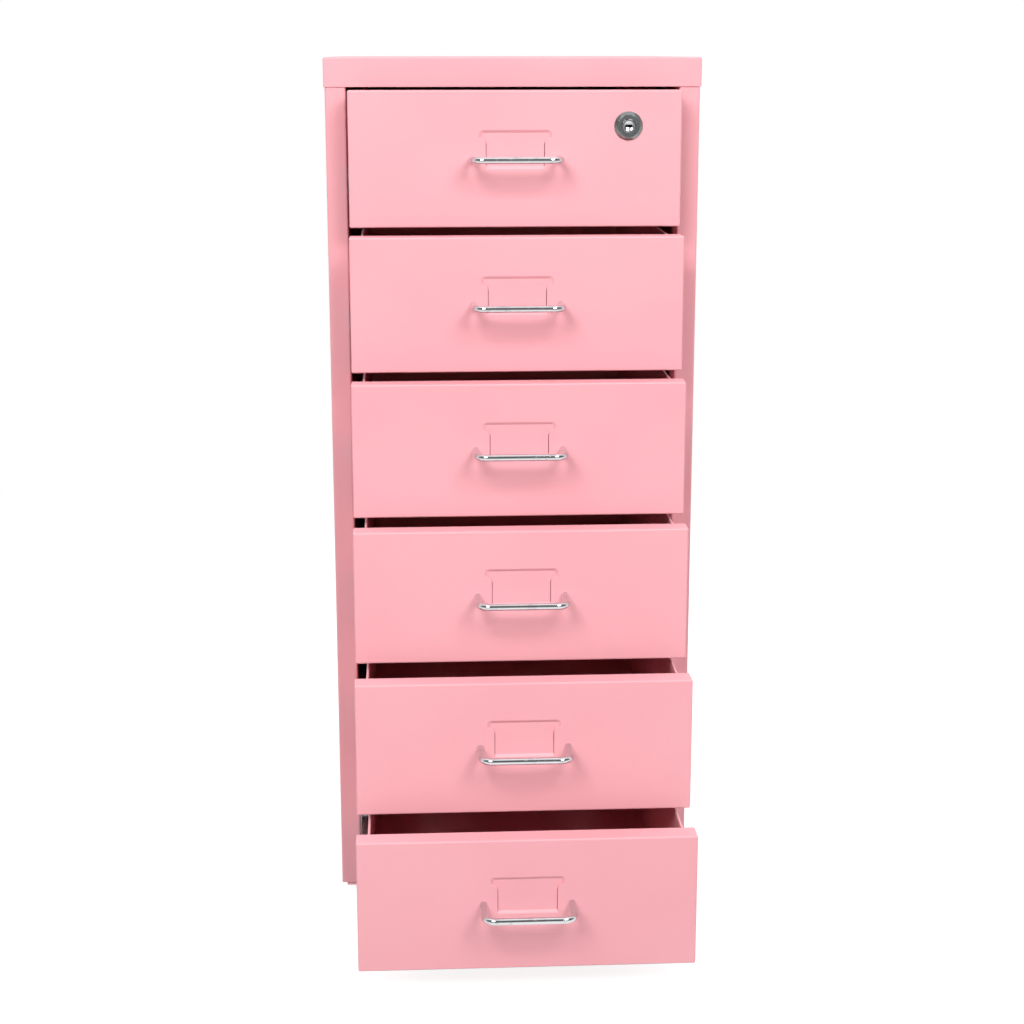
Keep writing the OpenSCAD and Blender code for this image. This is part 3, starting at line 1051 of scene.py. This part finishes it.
@dataclass
class DrawerFront:
    """A drawn steel front with its pressed label holder. Its face is at y = 0.

    Attributes:
        width: Width over the sides.
        height: Height over the top and bottom.
        flange: Depth of the top flange.
        returns: Depth of the side and bottom flanges.
        sheet: Thickness of the steel.
        bend: Outer radius of the rounded edges.
        recess_w: Width of the pressed recess.
        recess_h: Height of the pressed recess.
        recess_top: Distance of the recess below the top edge.
        recess_d: Depth of the recess.
        recess_round: Radius of the recess's corners.
        slope: How far the recess's walls lean in over its depth.
        rim_round: Rounding of the recess's rim and of the tabs' edges.
        card_w: Width between the two card tabs.
        tab_drop: Drop from the recess's top to the tabs' tops.
        tab_round: Radius of a tab's inner corner.
        tab_over: How far a tab's shape runs out in front of and beside the recess.
        tab_under: How far a tab's shape runs out below the recess.
        lance: Width of the lancing cut beside a tab.
        lance_lead: How far in front of the recess's floor that cut starts.
        lance_end: Where that cut ends behind the face.
        lock_bore: Radius of the lock's hole.
    """

    width: float
    height: float
    flange: float = 16.4
    returns: float = 8.0
    sheet: float = 0.8
    bend: float = 1.2
    recess_w: float = 54.0
    recess_h: float = 28.0
    recess_top: float = 28.5
    recess_d: float = 1.4
    recess_round: float = 3.2
    slope: float = 2.0
    rim_round: float = 0.4
    card_w: float = 43.4
    tab_drop: float = 5.7
    tab_round: float = 3.8
    tab_over: float = 3.0
    tab_under: float = 4.0
    lance: float = 0.4
    lance_lead: float = 0.1
    lance_end: float = 5.0
    lock_bore: float = 8.05

    def pan(self) -> Obj:
        """The front's face and flanges as one drawn sheet.

        Returns:
            The pan, with no label holder yet.
        """
        half = self.width / 2
        corner = (half, self.flange, self.height)
        pan = drawn_sheet(
            "front_pan", (-half, 0.0, 0.0), corner, lambda s: s.along.y > FACING, self.bend, self.sheet
        )
        under = self.height - self.sheet - SHIM
        low = (-half - OVER, self.returns, -OVER)
        work(pan, block("spare", low, (half + OVER, self.flange + OVER, under)), Join.CUT)
        return pan

    def trough(self, name: str, front: float, back: float, grow: float) -> Obj:
        """A tapered block with rounded corners, the shape of the pressing tool.

        Args:
            name: Its name.
            front: The y of its front end.
            back: The y of its back end.
            grow: How much bigger it is all round than the recess.

        Returns:
            The block.
        """
        lean = self.slope / self.recess_d
        reach = back - front
        wide = self.recess_w / 2 + grow - lean * front
        top = self.height - self.recess_top + grow - lean * front
        low = self.height - self.recess_top - self.recess_h - grow + lean * front
        tool = block(name, (-wide, front, low), (wide, back, top))
        with editing(tool):
            pick(Part.EDGE, lambda s: abs(s.along.y) > FACING)
            bpy.ops.mesh.bevel(offset=self.recess_round + grow, segments=BEND_STEPS, affect="EDGES")
            pick(Part.FACE, lambda s: s.along.y > FACING)
            shrink = lean * reach
            bpy.ops.transform.resize(
                value=(1 - shrink / wide, 1.0, 1 - 2 * shrink / (top - low)),
                center_override=(0.0, back, (top + low) / 2),
            )
        return tool

    def tab_shape(self, side: float) -> Obj:
        """The solid that keeps one card tab from being pressed in.

        Args:
            side: -1 for the left tab and 1 for the right.

        Returns:
            The solid, which runs out past the recess.
        """
        top = self.height - self.recess_top - self.tab_drop
        low = self.height - self.recess_top - self.recess_h - self.tab_under
        inner, outer = self.card_w / 2, self.recess_w / 2 + self.tab_over
        ends = sorted((side * inner, side * outer))
        tab = block("tab", (ends[0], -self.tab_over, low), (ends[1], self.sheet, top))

        def at_inner_corner(s: Spot) -> bool:
            """Whether an edge is the one at the tab's top that faces the other tab."""
            inside = s.middle.z > top - TOUCH and abs(s.middle.x) < inner + TOUCH
            return inside and abs(s.along.y) > FACING

        with editing(tab):
            pick(Part.EDGE, at_inner_corner)
            bpy.ops.mesh.bevel(offset=self.tab_round, segments=BEND_STEPS + 1, affect="EDGES")
        return tab

    def build(self) -> Obj:
        """The whole front.

        Returns:
            The front on the bench, its bottom edge at z = 0.
        """
        front = self.pan()
        boss = self.trough("boss", self.sheet / 2, self.recess_d + self.sheet, self.sheet)
        work(front, boss, Join.ADD)
        press = self.trough("press", -OVER, self.recess_d, 0.0)
        for side in (-1.0, 1.0):
            work(press, self.tab_shape(side), Join.CUT)
        work(front, press, Join.CUT)
        for side in (-1.0, 1.0):
            work(front, self._lancing(side), Join.CUT)
        self._round_rim(front)
        soften(front, width=0.22, angle=28.0)
        return front

    def _lancing(self, side: float) -> Obj:
        """The narrow cut that parts one card tab from the recess's floor.

        Args:
            side: -1 for the left tab and 1 for the right.

        Returns:
            The cut's shape.
        """
        top = self.height - self.recess_top - self.tab_drop - self.tab_round
        low = self.height - self.recess_top - self.recess_h + self.slope
        edge = side * self.card_w / 2
        ends = sorted((edge, edge - side * self.lance))
        start = self.recess_d - self.lance_lead
        return block("lancing", (ends[0], start, low), (ends[1], self.lance_end, top))

    def _round_rim(self, front: Obj) -> None:
        """Rounds the face where the press tool has drawn it in.

        Args:
            front: The front with its recess.
        """
        margin = 0.1
        half = self.recess_w / 2 + margin
        top = self.height - self.recess_top + margin
        low = top - self.recess_h - 2 * margin

        def at_rim(s: Spot) -> bool:
            """Whether an edge is in the face's plane, round the recess."""
            return abs(s.middle.y) < TOUCH and abs(s.middle.x) < half and low < s.middle.z < top

        with editing(front):
            pick(Part.EDGE, at_rim)
            bpy.ops.mesh.bevel(offset=self.rim_round, segments=3, affect="EDGES")

    def bored(self, master: Obj, name: str, x: float, z: float) -> Obj:
        """A copy of the front with the lock's hole in it.

        Args:
            master: The plain front.
            name: The copy's name.
            x: The hole's place across the front.
            z: The hole's height.

        Returns:
            The bored front.
        """
        front = copy_of(master, name)
        work(front, rod("lock_bore", (x, 0.0, z), self.lock_bore, length=8.0), Join.CUT)
        smooth(front)
        return front


@dataclass
class WireHandle:
    """A bent chrome wire. Its roots are at y = 0, and its height at z = 0.

    Attributes:
        centres: Distance between the legs' middles.
        wire: Diameter of the wire.
        reach: Distance of the bar's middle from the front.
        bend: Radius of the bends at the wire's middle.
    """

    centres: float = 64.0
    wire: float = 5.0
    reach: float = 29.0
    bend: float = 8.0

    def build(self) -> Obj:
        """The handle.

        Returns:
            The handle on the bench.
        """
        leg = self.reach - self.bend
        bar = self.centres - 2 * self.bend
        half = self.centres / 2
        handle = ring("handle_wire", (half, 0.0, 0.0), self.wire / 2, 40)
        with editing(handle):
            pick(Part.EDGE, lambda s: True)
            self._draw((0.0, -leg, 0.0))
            self._turn(half - self.bend, -leg)
            self._draw((-bar, 0.0, 0.0))
            self._turn(self.bend - half, -leg)
            self._draw((0.0, leg, 0.0))
            pick(Part.EDGE, lambda s: s.rim)
            bpy.ops.mesh.edge_face_add()
        outward(handle)
        soften(handle, width=0.5, steps=3, angle=60.0)
        return handle

    @staticmethod
    def _draw(step: Triple) -> None:
        """Draws the wire's open end straight on.

        Args:
            step: How far, in millimetres.
        """
        bpy.ops.mesh.extrude_edges_move(TRANSFORM_OT_translate={"value": step})

    @staticmethod
    def _turn(x: float, y: float) -> None:
        """Bends the wire's open end through a quarter turn.

        Args:
            x: The bend's centre across the front.
            y: The bend's centre along the depth.
        """
        bpy.ops.mesh.spin(steps=14, angle=math.pi / 2, center=(x, y, 0.0), axis=(0.0, 0.0, 1.0))


@dataclass
class CrossScrew:
    """A screw with a domed head and a driver cross.

    The head's underside is at y = 0, the shank runs to -Y and the head to +Y.

    Attributes:
        shank: Radius of the shank.
        length: Length of the shank.
        head: Radius of the head.
        dome: Height of the head.
        brow: How high the dome's edge is, as a share of its height.
        cross: Length of the driver cross.
        slot: Width of the driver cross.
        sunk: Depth of the driver cross.
    """

    shank: float
    length: float
    head: float = 4.0
    dome: float = 2.4
    brow: float = 0.3
    cross: float = 4.0
    slot: float = 0.8
    sunk: float = 1.0

    def build(self) -> Obj:
        """The screw.

        Returns:
            The screw on the bench.
        """
        rise = 1 - self.brow
        crown = [
            (self.head * math.cos(a), self.dome * (self.brow + rise * math.sin(a)))
            for a in map(math.radians, range(10, 90, 12))
        ]
        profile = [(self.shank, -self.length), (self.shank, 0.0), (self.head, 0.0), *crown]
        screw = lathe("screw", profile, 32)
        half, side = self.cross / 2, self.slot / 2
        for turn in (0.0, math.pi / 2):
            tool = block("driver", (-half, self.dome - self.sunk, -side), (half, self.dome + OVER, side))
            tool.data.transform(Matrix.Rotation(turn, 4, "Y"))
            work(screw, tool, Join.CUT)
        soften(screw, width=0.1, steps=1, angle=40.0)
        return screw


@dataclass
class Drawers:
    """The six drawers: fronts, handles and their screws are new, the rest is dressed.

    Attributes:
        finishes: The cabinet's materials.
        handle_drop: Distance of the handle below the front's top edge.
    """

    finishes: Finishes
    handle_drop: float = 49.0

    def build(self, lock_x: float, lock_z: float) -> None:
        """Builds every drawer.

        Args:
            lock_x: The lock's place across the top drawer's front, in millimetres.
            lock_z: The lock's height on the top drawer's front, in millimetres.
        """
        low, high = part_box("drawer_1_front")
        shape = DrawerFront((high.x - low.x) / MM, (high.z - low.z) / MM)
        master = shape.build()
        grip = WireHandle()
        wire = grip.build()
        screw = CrossScrew(shank=1.5, length=8.8).build()
        height = shape.height - self.handle_drop
        for number in range(1, DRAWERS + 1):
            low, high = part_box(f"drawer_{number}_front")
            corner = ((low.x + high.x) / 2, low.y, low.z)
            body = Body.drawer(number)
            name = f"drawer_{number}"
            if number == 1:
                front = shape.bored(master, f"{name}_painted_front", lock_x, lock_z)
            else:
                front = copy_of(master, f"{name}_painted_front")
            into_frame(front, corner)
            self.finishes.install(front, body, "pink_powder_coat", Slot.PINK, f"{name}_front")
            handle = into_frame(copy_of(wire, f"{name}_chrome_handle", (0.0, 0.0, height)), corner)
            self.finishes.install(handle, body, "bright_chrome", Slot.CHROME, f"{name}_handle")
            pair = [
                copy_of(screw, f"handle_screw_{side}", (side * grip.centres / 2, shape.sheet, height))
                for side in (-1, 1)
            ]
            screws = into_frame(gather(f"{name}_handle_screws", pair), corner)
            self.finishes.install(screws, body, "zinc_plated_steel", Slot.ZINC, f"{name}_screws")
            self.finishes.dress(f"{name}_tray", "pink_powder_coat")
            self.finishes.dress(f"{name}_slides", "zinc_plated_steel")
            self.finishes.dress(f"{name}_glides", "slide_nylon")
        for spare in (master, wire, screw):
            bpy.data.objects.remove(spare)


# ---------------------------------------------------------------- lock


@dataclass
class CamLock:
    """The lock's turned housing and plug. Its axis is Y, and the drawer's face is y = 0.

    Attributes:
        finishes: The cabinet's materials.
        axis: Where the axis meets the drawer's face, in metres.
        bezel: Radius of the bezel.
        thick: Thickness of the bezel in front of the drawer.
        face: Radius of the bezel's flat face.
        edge: Rounding of the bezel's and the plug's edges.
        rim: How far the bezel's outer edge stands off the drawer.
        plug: Radius of the plug.
        play: Gap between the plug and its bore.
        barrel: Radius of the barrel.
        depth: How far the barrel reaches behind the drawer's face.
        end: How far the plug reaches behind the drawer's face.
        dish: Radius of the dish in the plug's face.
        dish_lip: Radius at which its lip meets that face.
        dish_floor: Radius of the dish's floor.
        dish_d: Depth of the dish.
        key_w: Width of the key slot.
        key_h: Height of the key slot.
        key_d: Depth of the key slot.
        lead: Depth of the first wafer behind the bezel's face.
    """

    finishes: Finishes
    axis: Triple
    bezel: float = 10.5
    thick: float = 2.6
    face: float = 8.3
    edge: float = 0.35
    rim: float = 0.6
    plug: float = 5.0
    play: float = 0.06
    barrel: float = 8.0
    depth: float = 17.0
    end: float = 17.2
    dish: float = 3.4
    dish_lip: float = 3.7
    dish_floor: float = 2.4
    dish_d: float = 0.7
    key_w: float = 5.2
    key_h: float = 2.0
    key_d: float = 7.9
    lead: float = 3.4

    def housing(self) -> Obj:
        """The bezel and its barrel, turned in one.

        Returns:
            The housing on the bench.
        """
        bore = self.plug + self.play
        front = -self.thick
        profile = [
            (bore, front + self.edge),
            (bore + 0.3, front),
            (self.face - 0.25, front),
            (self.face, front + 0.08),
            (self.bezel - self.edge, -self.rim - self.edge),
            (self.bezel, -self.rim),
            (self.bezel, 0.0),
            (self.barrel, 0.0),
            (self.barrel, self.depth),
            (bore, self.depth),
        ]
        piece = lathe("lock_bezel_and_barrel", profile, steps=96, tube=True)
        smooth(piece, 25.0)
        return piece

    def core(self) -> Obj:
        """The plug, with a dished face and its key slot.

        Returns:
            The plug on the bench.
        """
        front = -self.thick
        profile = [
            (POINT, front + self.dish_d),
            (self.dish_floor, front + self.dish_d),
            (self.dish, front + 0.12),
            (self.dish_lip, front),
            (self.plug - 0.2, front),
            (self.plug, front + self.edge),
            (self.plug, self.end),
            (POINT, self.end),
        ]
        piece = lathe("lock_plug_dished", profile)
        wide, tall = self.key_w / 2, self.key_h / 2
        slot = block("key_slot", (-wide, front - OVER, -tall), (wide, front + self.key_d, tall))
        work(piece, slot, Join.CUT)
        soften(piece, width=0.12, angle=40.0)
        return piece

    def wafers(self) -> Obj:
        """The oiled wafers and the wards that show inside the key slot, in brass painted darker than it
        is, as painted shade deep in the slot.

        Returns:
            The wafers on the bench.
        """
        wide, tall = self.key_w / 2 - SHIM, self.key_h / 2 - SHIM
        start = self.lead - self.thick
        ward_low, ward_top = TOUCH - self.key_h / 2, -0.88
        pitch, thick, way, reach, stagger = 0.95, 0.6, 0.35, 0.3, 0.18
        stack = [
            block("wafer_back", (-wide, start + 2.6, -tall), (wide, start + 4.4, tall)),
            block("ward", (-wide, 0.75 - self.thick, ward_low), (wide, start + 2.5, ward_top)),
        ]
        for number in range(3):
            y = start + number * pitch
            drop = stagger * (number % 2)
            left = (-wide, y, ward_top + SHIM)
            stack.append(block("wafer", left, (-way, y + thick, reach - drop)))
            stack.append(block("wafer", (way, y, drop - reach), (wide, y + thick, tall)))
        piece = gather("lock_wafers", stack)
        soften(piece, width=0.06, steps=1, angle=40.0)
        return piece

    def build(self) -> None:
        """Builds the lock and dresses its hidden parts."""
        housing = into_frame(self.housing(), self.axis)
        self.finishes.install(housing, Body.drawer(1), "lock_face_plate", Slot.CHROME, "lock_housing")
        plug = into_frame(self.core(), self.axis)
        self.finishes.install(plug, Body.LOCK.value, "bright_chrome", Slot.CHROME, "lock_plug")
        wafers = into_frame(self.wafers(), self.axis)
        # the wafers and ward are oiled brass painted dark, as painted shade inside the key slot
        self.finishes.install(wafers, Body.LOCK.value, "oiled_wafer_brass_and_slot_shade", Slot.ZINC)
        for node in ("lock_nut", "lock_cam", "cam_screw"):
            self.finishes.dress(node, "zinc_plated_steel")


# ---------------------------------------------------------------- carcass


@dataclass
class Carcass:
    """The cap, the feet and the carcass's screws are new, and the rest is dressed.

    Attributes:
        finishes: The cabinet's materials.
        sheet: Thickness of the steel.
        bend: Outer radius of the cap's rounded edges.
        foot: Radius of a foot.
        stem: Height of a foot's stem above its seat.
    """

    finishes: Finishes
    sheet: float = 0.8
    bend: float = 1.2
    foot: float = 12.0
    stem: float = 3.8

    def cap(self) -> None:
        """The drawn top cap with its skirt."""
        low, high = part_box("top_cap")
        wide, deep, tall = (high - low) / MM
        corners = (-wide / 2, -deep / 2, 0.0), (wide / 2, deep / 2, tall)
        cap = drawn_sheet(
            "painted_top_cap", *corners, lambda s: s.along.z < -FACING, self.bend, self.sheet
        )
        soften(cap, width=0.2, angle=40.0)
        into_frame(cap, ((low.x + high.x) / 2, (low.y + high.y) / 2, low.z))
        self.finishes.install(cap, Body.CARCASS.value, "pink_powder_coat", Slot.PINK, "top_cap")

    def feet(self) -> None:
        """Four moulded feet with a chamfered tread and a barbed stem."""
        low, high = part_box("feet")
        seat = (high.z - low.z) / MM - self.stem
        tread = [(8.6, 0.9), (9.2, 0.0), (10.2, 0.0), (11.4, 0.6)]
        side = [(self.foot, 2.0), (self.foot, seat - 0.7), (self.foot - 0.7, seat)]
        neck = [(4.0, seat), (4.0, seat + 0.8)]
        barb = [(5.0, seat + 0.8), (5.0, seat + 1.4), (3.0, seat + self.stem)]
        profile = [*tread, *side, *neck, *barb]
        master = lathe("foot", profile, 48)
        smooth(master, 30.0)
        upright = Matrix.Rotation(math.pi / 2, 4, "X")
        inset = self.foot * MM
        places = [
            ((x - sx * inset) / MM, (y - sy * inset) / MM)
            for x, sx in ((low.x, -1), (high.x, 1))
            for y, sy in ((low.y, -1), (high.y, 1))
        ]
        copies = [
            copy_of(master, f"foot_{n}", (x, y, 0.0), upright) for n, (x, y) in enumerate(places)
        ]
        bpy.data.objects.remove(master)
        feet = into_frame(gather("moulded_feet", copies), (0.0, 0.0, low.z))
        self.finishes.install(feet, Body.CARCASS.value, "foot_polythene", Slot.FOOT, "feet")

    def screws(self) -> None:
        """The screws through the back flanges and the base."""
        screw = CrossScrew(shank=2.0, length=8.0)
        master = screw.build()
        low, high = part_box("panel_screws")
        seat = high.y / MM - screw.dome
        middle = (low.z + high.z) / 2 / MM
        backs = [
            copy_of(master, "back_screw", (x, seat, z))
            for x in (low.x / MM + screw.head, high.x / MM - screw.head)
            for z in (low.z / MM + screw.head, middle, high.z / MM - screw.head)
        ]
        panel = into_frame(gather("back_panel_screws", backs), (0.0, 0.0, 0.0))
        self.finishes.install(panel, Body.CARCASS.value, "zinc_plated_steel", Slot.ZINC, "panel_screws")
        low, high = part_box("base_screws")
        down = Matrix.Rotation(-math.pi / 2, 4, "X")
        under = [
            copy_of(master, "under_screw", (x, y, low.z / MM + screw.dome), down)
            for x in (low.x / MM + screw.head, high.x / MM - screw.head)
            for y in (low.y / MM + screw.head, high.y / MM - screw.head)
        ]
        base = into_frame(gather("base_panel_screws", under), (0.0, 0.0, 0.0))
        self.finishes.install(base, Body.CARCASS.value, "zinc_plated_steel", Slot.ZINC, "base_screws")
        bpy.data.objects.remove(master)

    def build(self) -> None:
        """Builds and dresses the carcass."""
        self.cap()
        self.feet()
        self.screws()
        for node in (
            "side_panel_left",
            "side_panel_right",
            "back_panel",
            "base_panel",
            "top_rail",
            "bottom_rail",
            "rear_posts",
        ):
            self.finishes.dress(node, "pink_powder_coat")
        for node in ("runners_left", "runners_right", "runner_rivets"):
            self.finishes.dress(node, "zinc_plated_steel")


# ---------------------------------------------------------------- studio


@dataclass(frozen=True)
class Softbox:
    """One large lamp.

    Attributes:
        name: The lamp's name.
        place: Where it stands, in metres.
        aim: What it faces, in metres.
        size: Its width and height, in metres.
        power: Its power, in watts.
        mirrored: Whether gloss and metal mirror it.
    """

    name: str
    place: Triple
    aim: Triple
    size: tuple[float, float]
    power: float
    mirrored: bool = True

    def build(self) -> None:
        """Adds the lamp."""
        data = bpy.data.lights.new(self.name, "AREA")
        data.shape = "RECTANGLE"
        data.size, data.size_y = self.size
        data.energy = self.power
        lamp = bpy.data.objects.new(self.name, data)
        lamp.visible_glossy = self.mirrored
        bpy.context.scene.collection.objects.link(lamp)
        lamp.location = self.place
        way = Vector(self.aim) - Vector(self.place)
        lamp.rotation_euler = way.to_track_quat("-Z", "Y").to_euler()
        LOG.info("lamp %s", self.name)


@dataclass(frozen=True)
class PhotoCamera:
    """The camera at the photograph's place.

    Attributes:
        place: Where it stands, in metres.
        right: Its picture's right in the frame.
        up: Its picture's up in the frame.
        forward: Where it looks.
        lens: Its focal length for a sensor 36 mm wide.
    """

    place: Triple = (-0.08161, -1.66733, 0.66913)
    right: Triple = (0.99848193, -0.05507643, -0.00064484)
    up: Triple = (0.0134153, 0.23181824, 0.97266661)
    forward: Triple = (0.05342152, 0.97119869, -0.23220519)
    lens: float = 67.606

    def build(self) -> None:
        """Adds the camera and makes it the scene's."""
        data = bpy.data.cameras.new("photo_camera")
        data.sensor_fit = "HORIZONTAL"
        data.sensor_width = 36.0
        data.lens = self.lens
        data.clip_end = 100.0
        camera = bpy.data.objects.new("photo_camera", data)
        bpy.context.scene.collection.objects.link(camera)
        turn = Matrix((self.right, self.up, [-v for v in self.forward])).transposed()
        camera.matrix_world = Matrix.Translation(self.place) @ turn.to_4x4()
        bpy.context.scene.camera = camera


@dataclass
class Studio:
    """Plain white floor and backdrop, soft lamps and the camera.

    The end of the room is what bright metal mirrors from behind the camera.

    Attributes:
        fill: Strength of the even light from all round.
        matt: How pale the floor is to the light that falls on it.
        lift: How much the floor is lifted towards white as it is seen.
        unlit: How bright the lower part of the room's end is.
        ceiling: How bright the upper part of that end is.
        above: How bright the ceiling over the cabinet is in bright metal.
        blank: How far out the floor starts and ends turning into the backdrop.
        dim: Where the floor starts and ends turning dim towards the room's end, along Y.
        turn: The way's share along Y between which the end of the room starts and ends.
        wall: The way's share along Z between which that end turns into its upper part.
        roof: The way's share along Z between which that part turns into the ceiling.
        lamps: The softboxes.
    """

    fill: float = 0.25
    matt: float = 0.36
    lift: float = 0.86
    unlit: float = 0.36
    ceiling: float = 0.15
    above: float = 0.36
    blank: tuple[float, float] = (0.7, 1.5)
    dim: tuple[float, float] = (-2.2, -1.6)
    turn: tuple[float, float] = (-0.35, 0.1)
    wall: tuple[float, float] = (0.0, 0.4)
    roof: tuple[float, float] = (0.6, 0.95)
    lamps: tuple[Softbox, ...] = (
        Softbox("left_softbox", (-0.75, -2.05, 1.74), (0.0, -0.3, 0.45), (0.9, 0.9), 30.8),
        Softbox("right_softbox", (0.75, -2.05, 1.74), (0.0, -0.3, 0.45), (0.9, 0.9), 25.2),
        Softbox("top_softbox", (0.0, -0.3, 2.3), (0.0, -0.2, 0.5), (2.4, 2.4), 11.0),
        Softbox("left_back_softbox", (-1.7, 1.3, 1.3), (0.0, 0.1, 0.4), (1.2, 1.2), 20.0, mirrored=False),
        Softbox("right_back_softbox", (1.7, 1.3, 1.3), (0.0, 0.1, 0.4), (1.2, 1.2), 20.0, mirrored=False),
    )

    @staticmethod
    def _seen(w: Wiring) -> Socket:
        """A mask of rays that show the background: seen, mirrored or passed on.

        Args:
            w: The wiring of the floor or the world.

        Returns:
            The mask's socket.
        """
        rays = w.add("ShaderNodeLightPath").outputs
        both = w.math("MAXIMUM", rays["Is Camera Ray"], rays["Is Glossy Ray"])
        return w.math("MAXIMUM", both, rays["Is Transmission Ray"])

    def backdrop(self) -> None:
        """The world: white where it is seen, and soft even light elsewhere.

        Bright metal also mirrors the dim end of the room, behind the camera.
        """
        world = bpy.data.worlds.new("studio_backdrop")
        bpy.context.scene.world = world
        world.use_nodes = True
        w = Wiring(world.node_tree)
        white = (1.0, 1.0, 1.0, 1.0)
        way = w.add("ShaderNodeSeparateXYZ", {0: w.add("ShaderNodeTexCoord").outputs["Object"]}).outputs
        end = w.span(way[1], *self.turn, 1.0, 0.0)
        mirrored = w.add("ShaderNodeLightPath").outputs["Is Glossy Ray"]
        wall = w.span(way[2], *self.wall, self.unlit, self.ceiling)
        room = w.span(way[2], *self.roof, wall, self.above)
        even = w.add("ShaderNodeBackground", {"Color": white, "Strength": self.fill})
        grey = w.add("ShaderNodeCombineColor", {0: room, 1: room, 2: room}).outputs[0]
        shade = w.blend(w.math("MULTIPLY", end, mirrored), white, grey)
        shown = w.add("ShaderNodeBackground", {"Color": shade, "Strength": 1.0})
        mixed = w.add("ShaderNodeMixShader", {0: self._seen(w), 1: even.outputs[0], 2: shown.outputs[0]})
        w.add("ShaderNodeOutputWorld", {"Surface": mixed.outputs[0]})

    def floor(self) -> None:
        """A wide floor, seen white, that keeps the cabinet's shadow."""
        deselect()
        bpy.ops.mesh.primitive_plane_add(size=30, location=(0.0, 0.0, 0.0))
        floor = fresh("studio_floor")
        material = bpy.data.materials.new("studio_floor_white")
        material.use_nodes = True
        w = Wiring(material.node_tree)
        seen = self._seen(w)
        place = w.add("ShaderNodeTexCoord").outputs["Object"]
        away = w.add("ShaderNodeVectorMath", {0: place}, operation="LENGTH").outputs["Value"]
        far = w.math("MULTIPLY", w.span(away, *self.blank), seen)
        end = w.span(w.add("ShaderNodeSeparateXYZ", {0: place}).outputs[1], *self.dim, 1.0, 0.0)
        mirrored = w.math("MULTIPLY", end, w.add("ShaderNodeLightPath").outputs["Is Glossy Ray"])
        matt = w.add("ShaderNodeBsdfDiffuse", {"Color": (self.matt, self.matt, self.matt, 1.0)})
        glow = w.add("ShaderNodeEmission", {"Strength": w.math("MULTIPLY", seen, self.lift)})
        near = w.add("ShaderNodeAddShader", {0: matt.outputs[0], 1: glow.outputs[0]})
        level = w.math("MULTIPLY_ADD", mirrored, self.unlit - 1.0, 1.0)
        blank = w.add("ShaderNodeEmission", {"Strength": level})
        mixed = w.add("ShaderNodeMixShader", {0: far, 1: near.outputs[0], 2: blank.outputs[0]})
        w.add("ShaderNodeOutputMaterial", {"Surface": mixed.outputs[0]})
        floor.data.materials.append(material)

    def build(self) -> None:
        """Sets the studio up."""
        bpy.context.scene.view_settings.view_transform = "Standard"
        self.backdrop()
        self.floor()
        for lamp in self.lamps:
            lamp.build()
        PhotoCamera().build()
        LOG.info("studio ready")


# ---------------------------------------------------------------- main


def main() -> None:
    """Builds the studio and the cabinet's sub-assemblies in order."""
    logging.basicConfig(level=logging.INFO, format="%(name)s: %(message)s")
    face_low, face_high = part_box("drawer_1_front")
    lock_low, lock_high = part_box("lock_housing")
    axis = ((lock_low.x + lock_high.x) / 2, face_low.y, (lock_low.z + lock_high.z) / 2)
    Studio().build()
    finishes = Finishes(axis)
    Carcass(finishes).build()
    Drawers(finishes).build(
        (axis[0] - (face_low.x + face_high.x) / 2) / MM, (axis[2] - face_low.z) / MM
    )
    CamLock(finishes, axis).build()
    deselect()


if __name__ == "__main__":
    main()
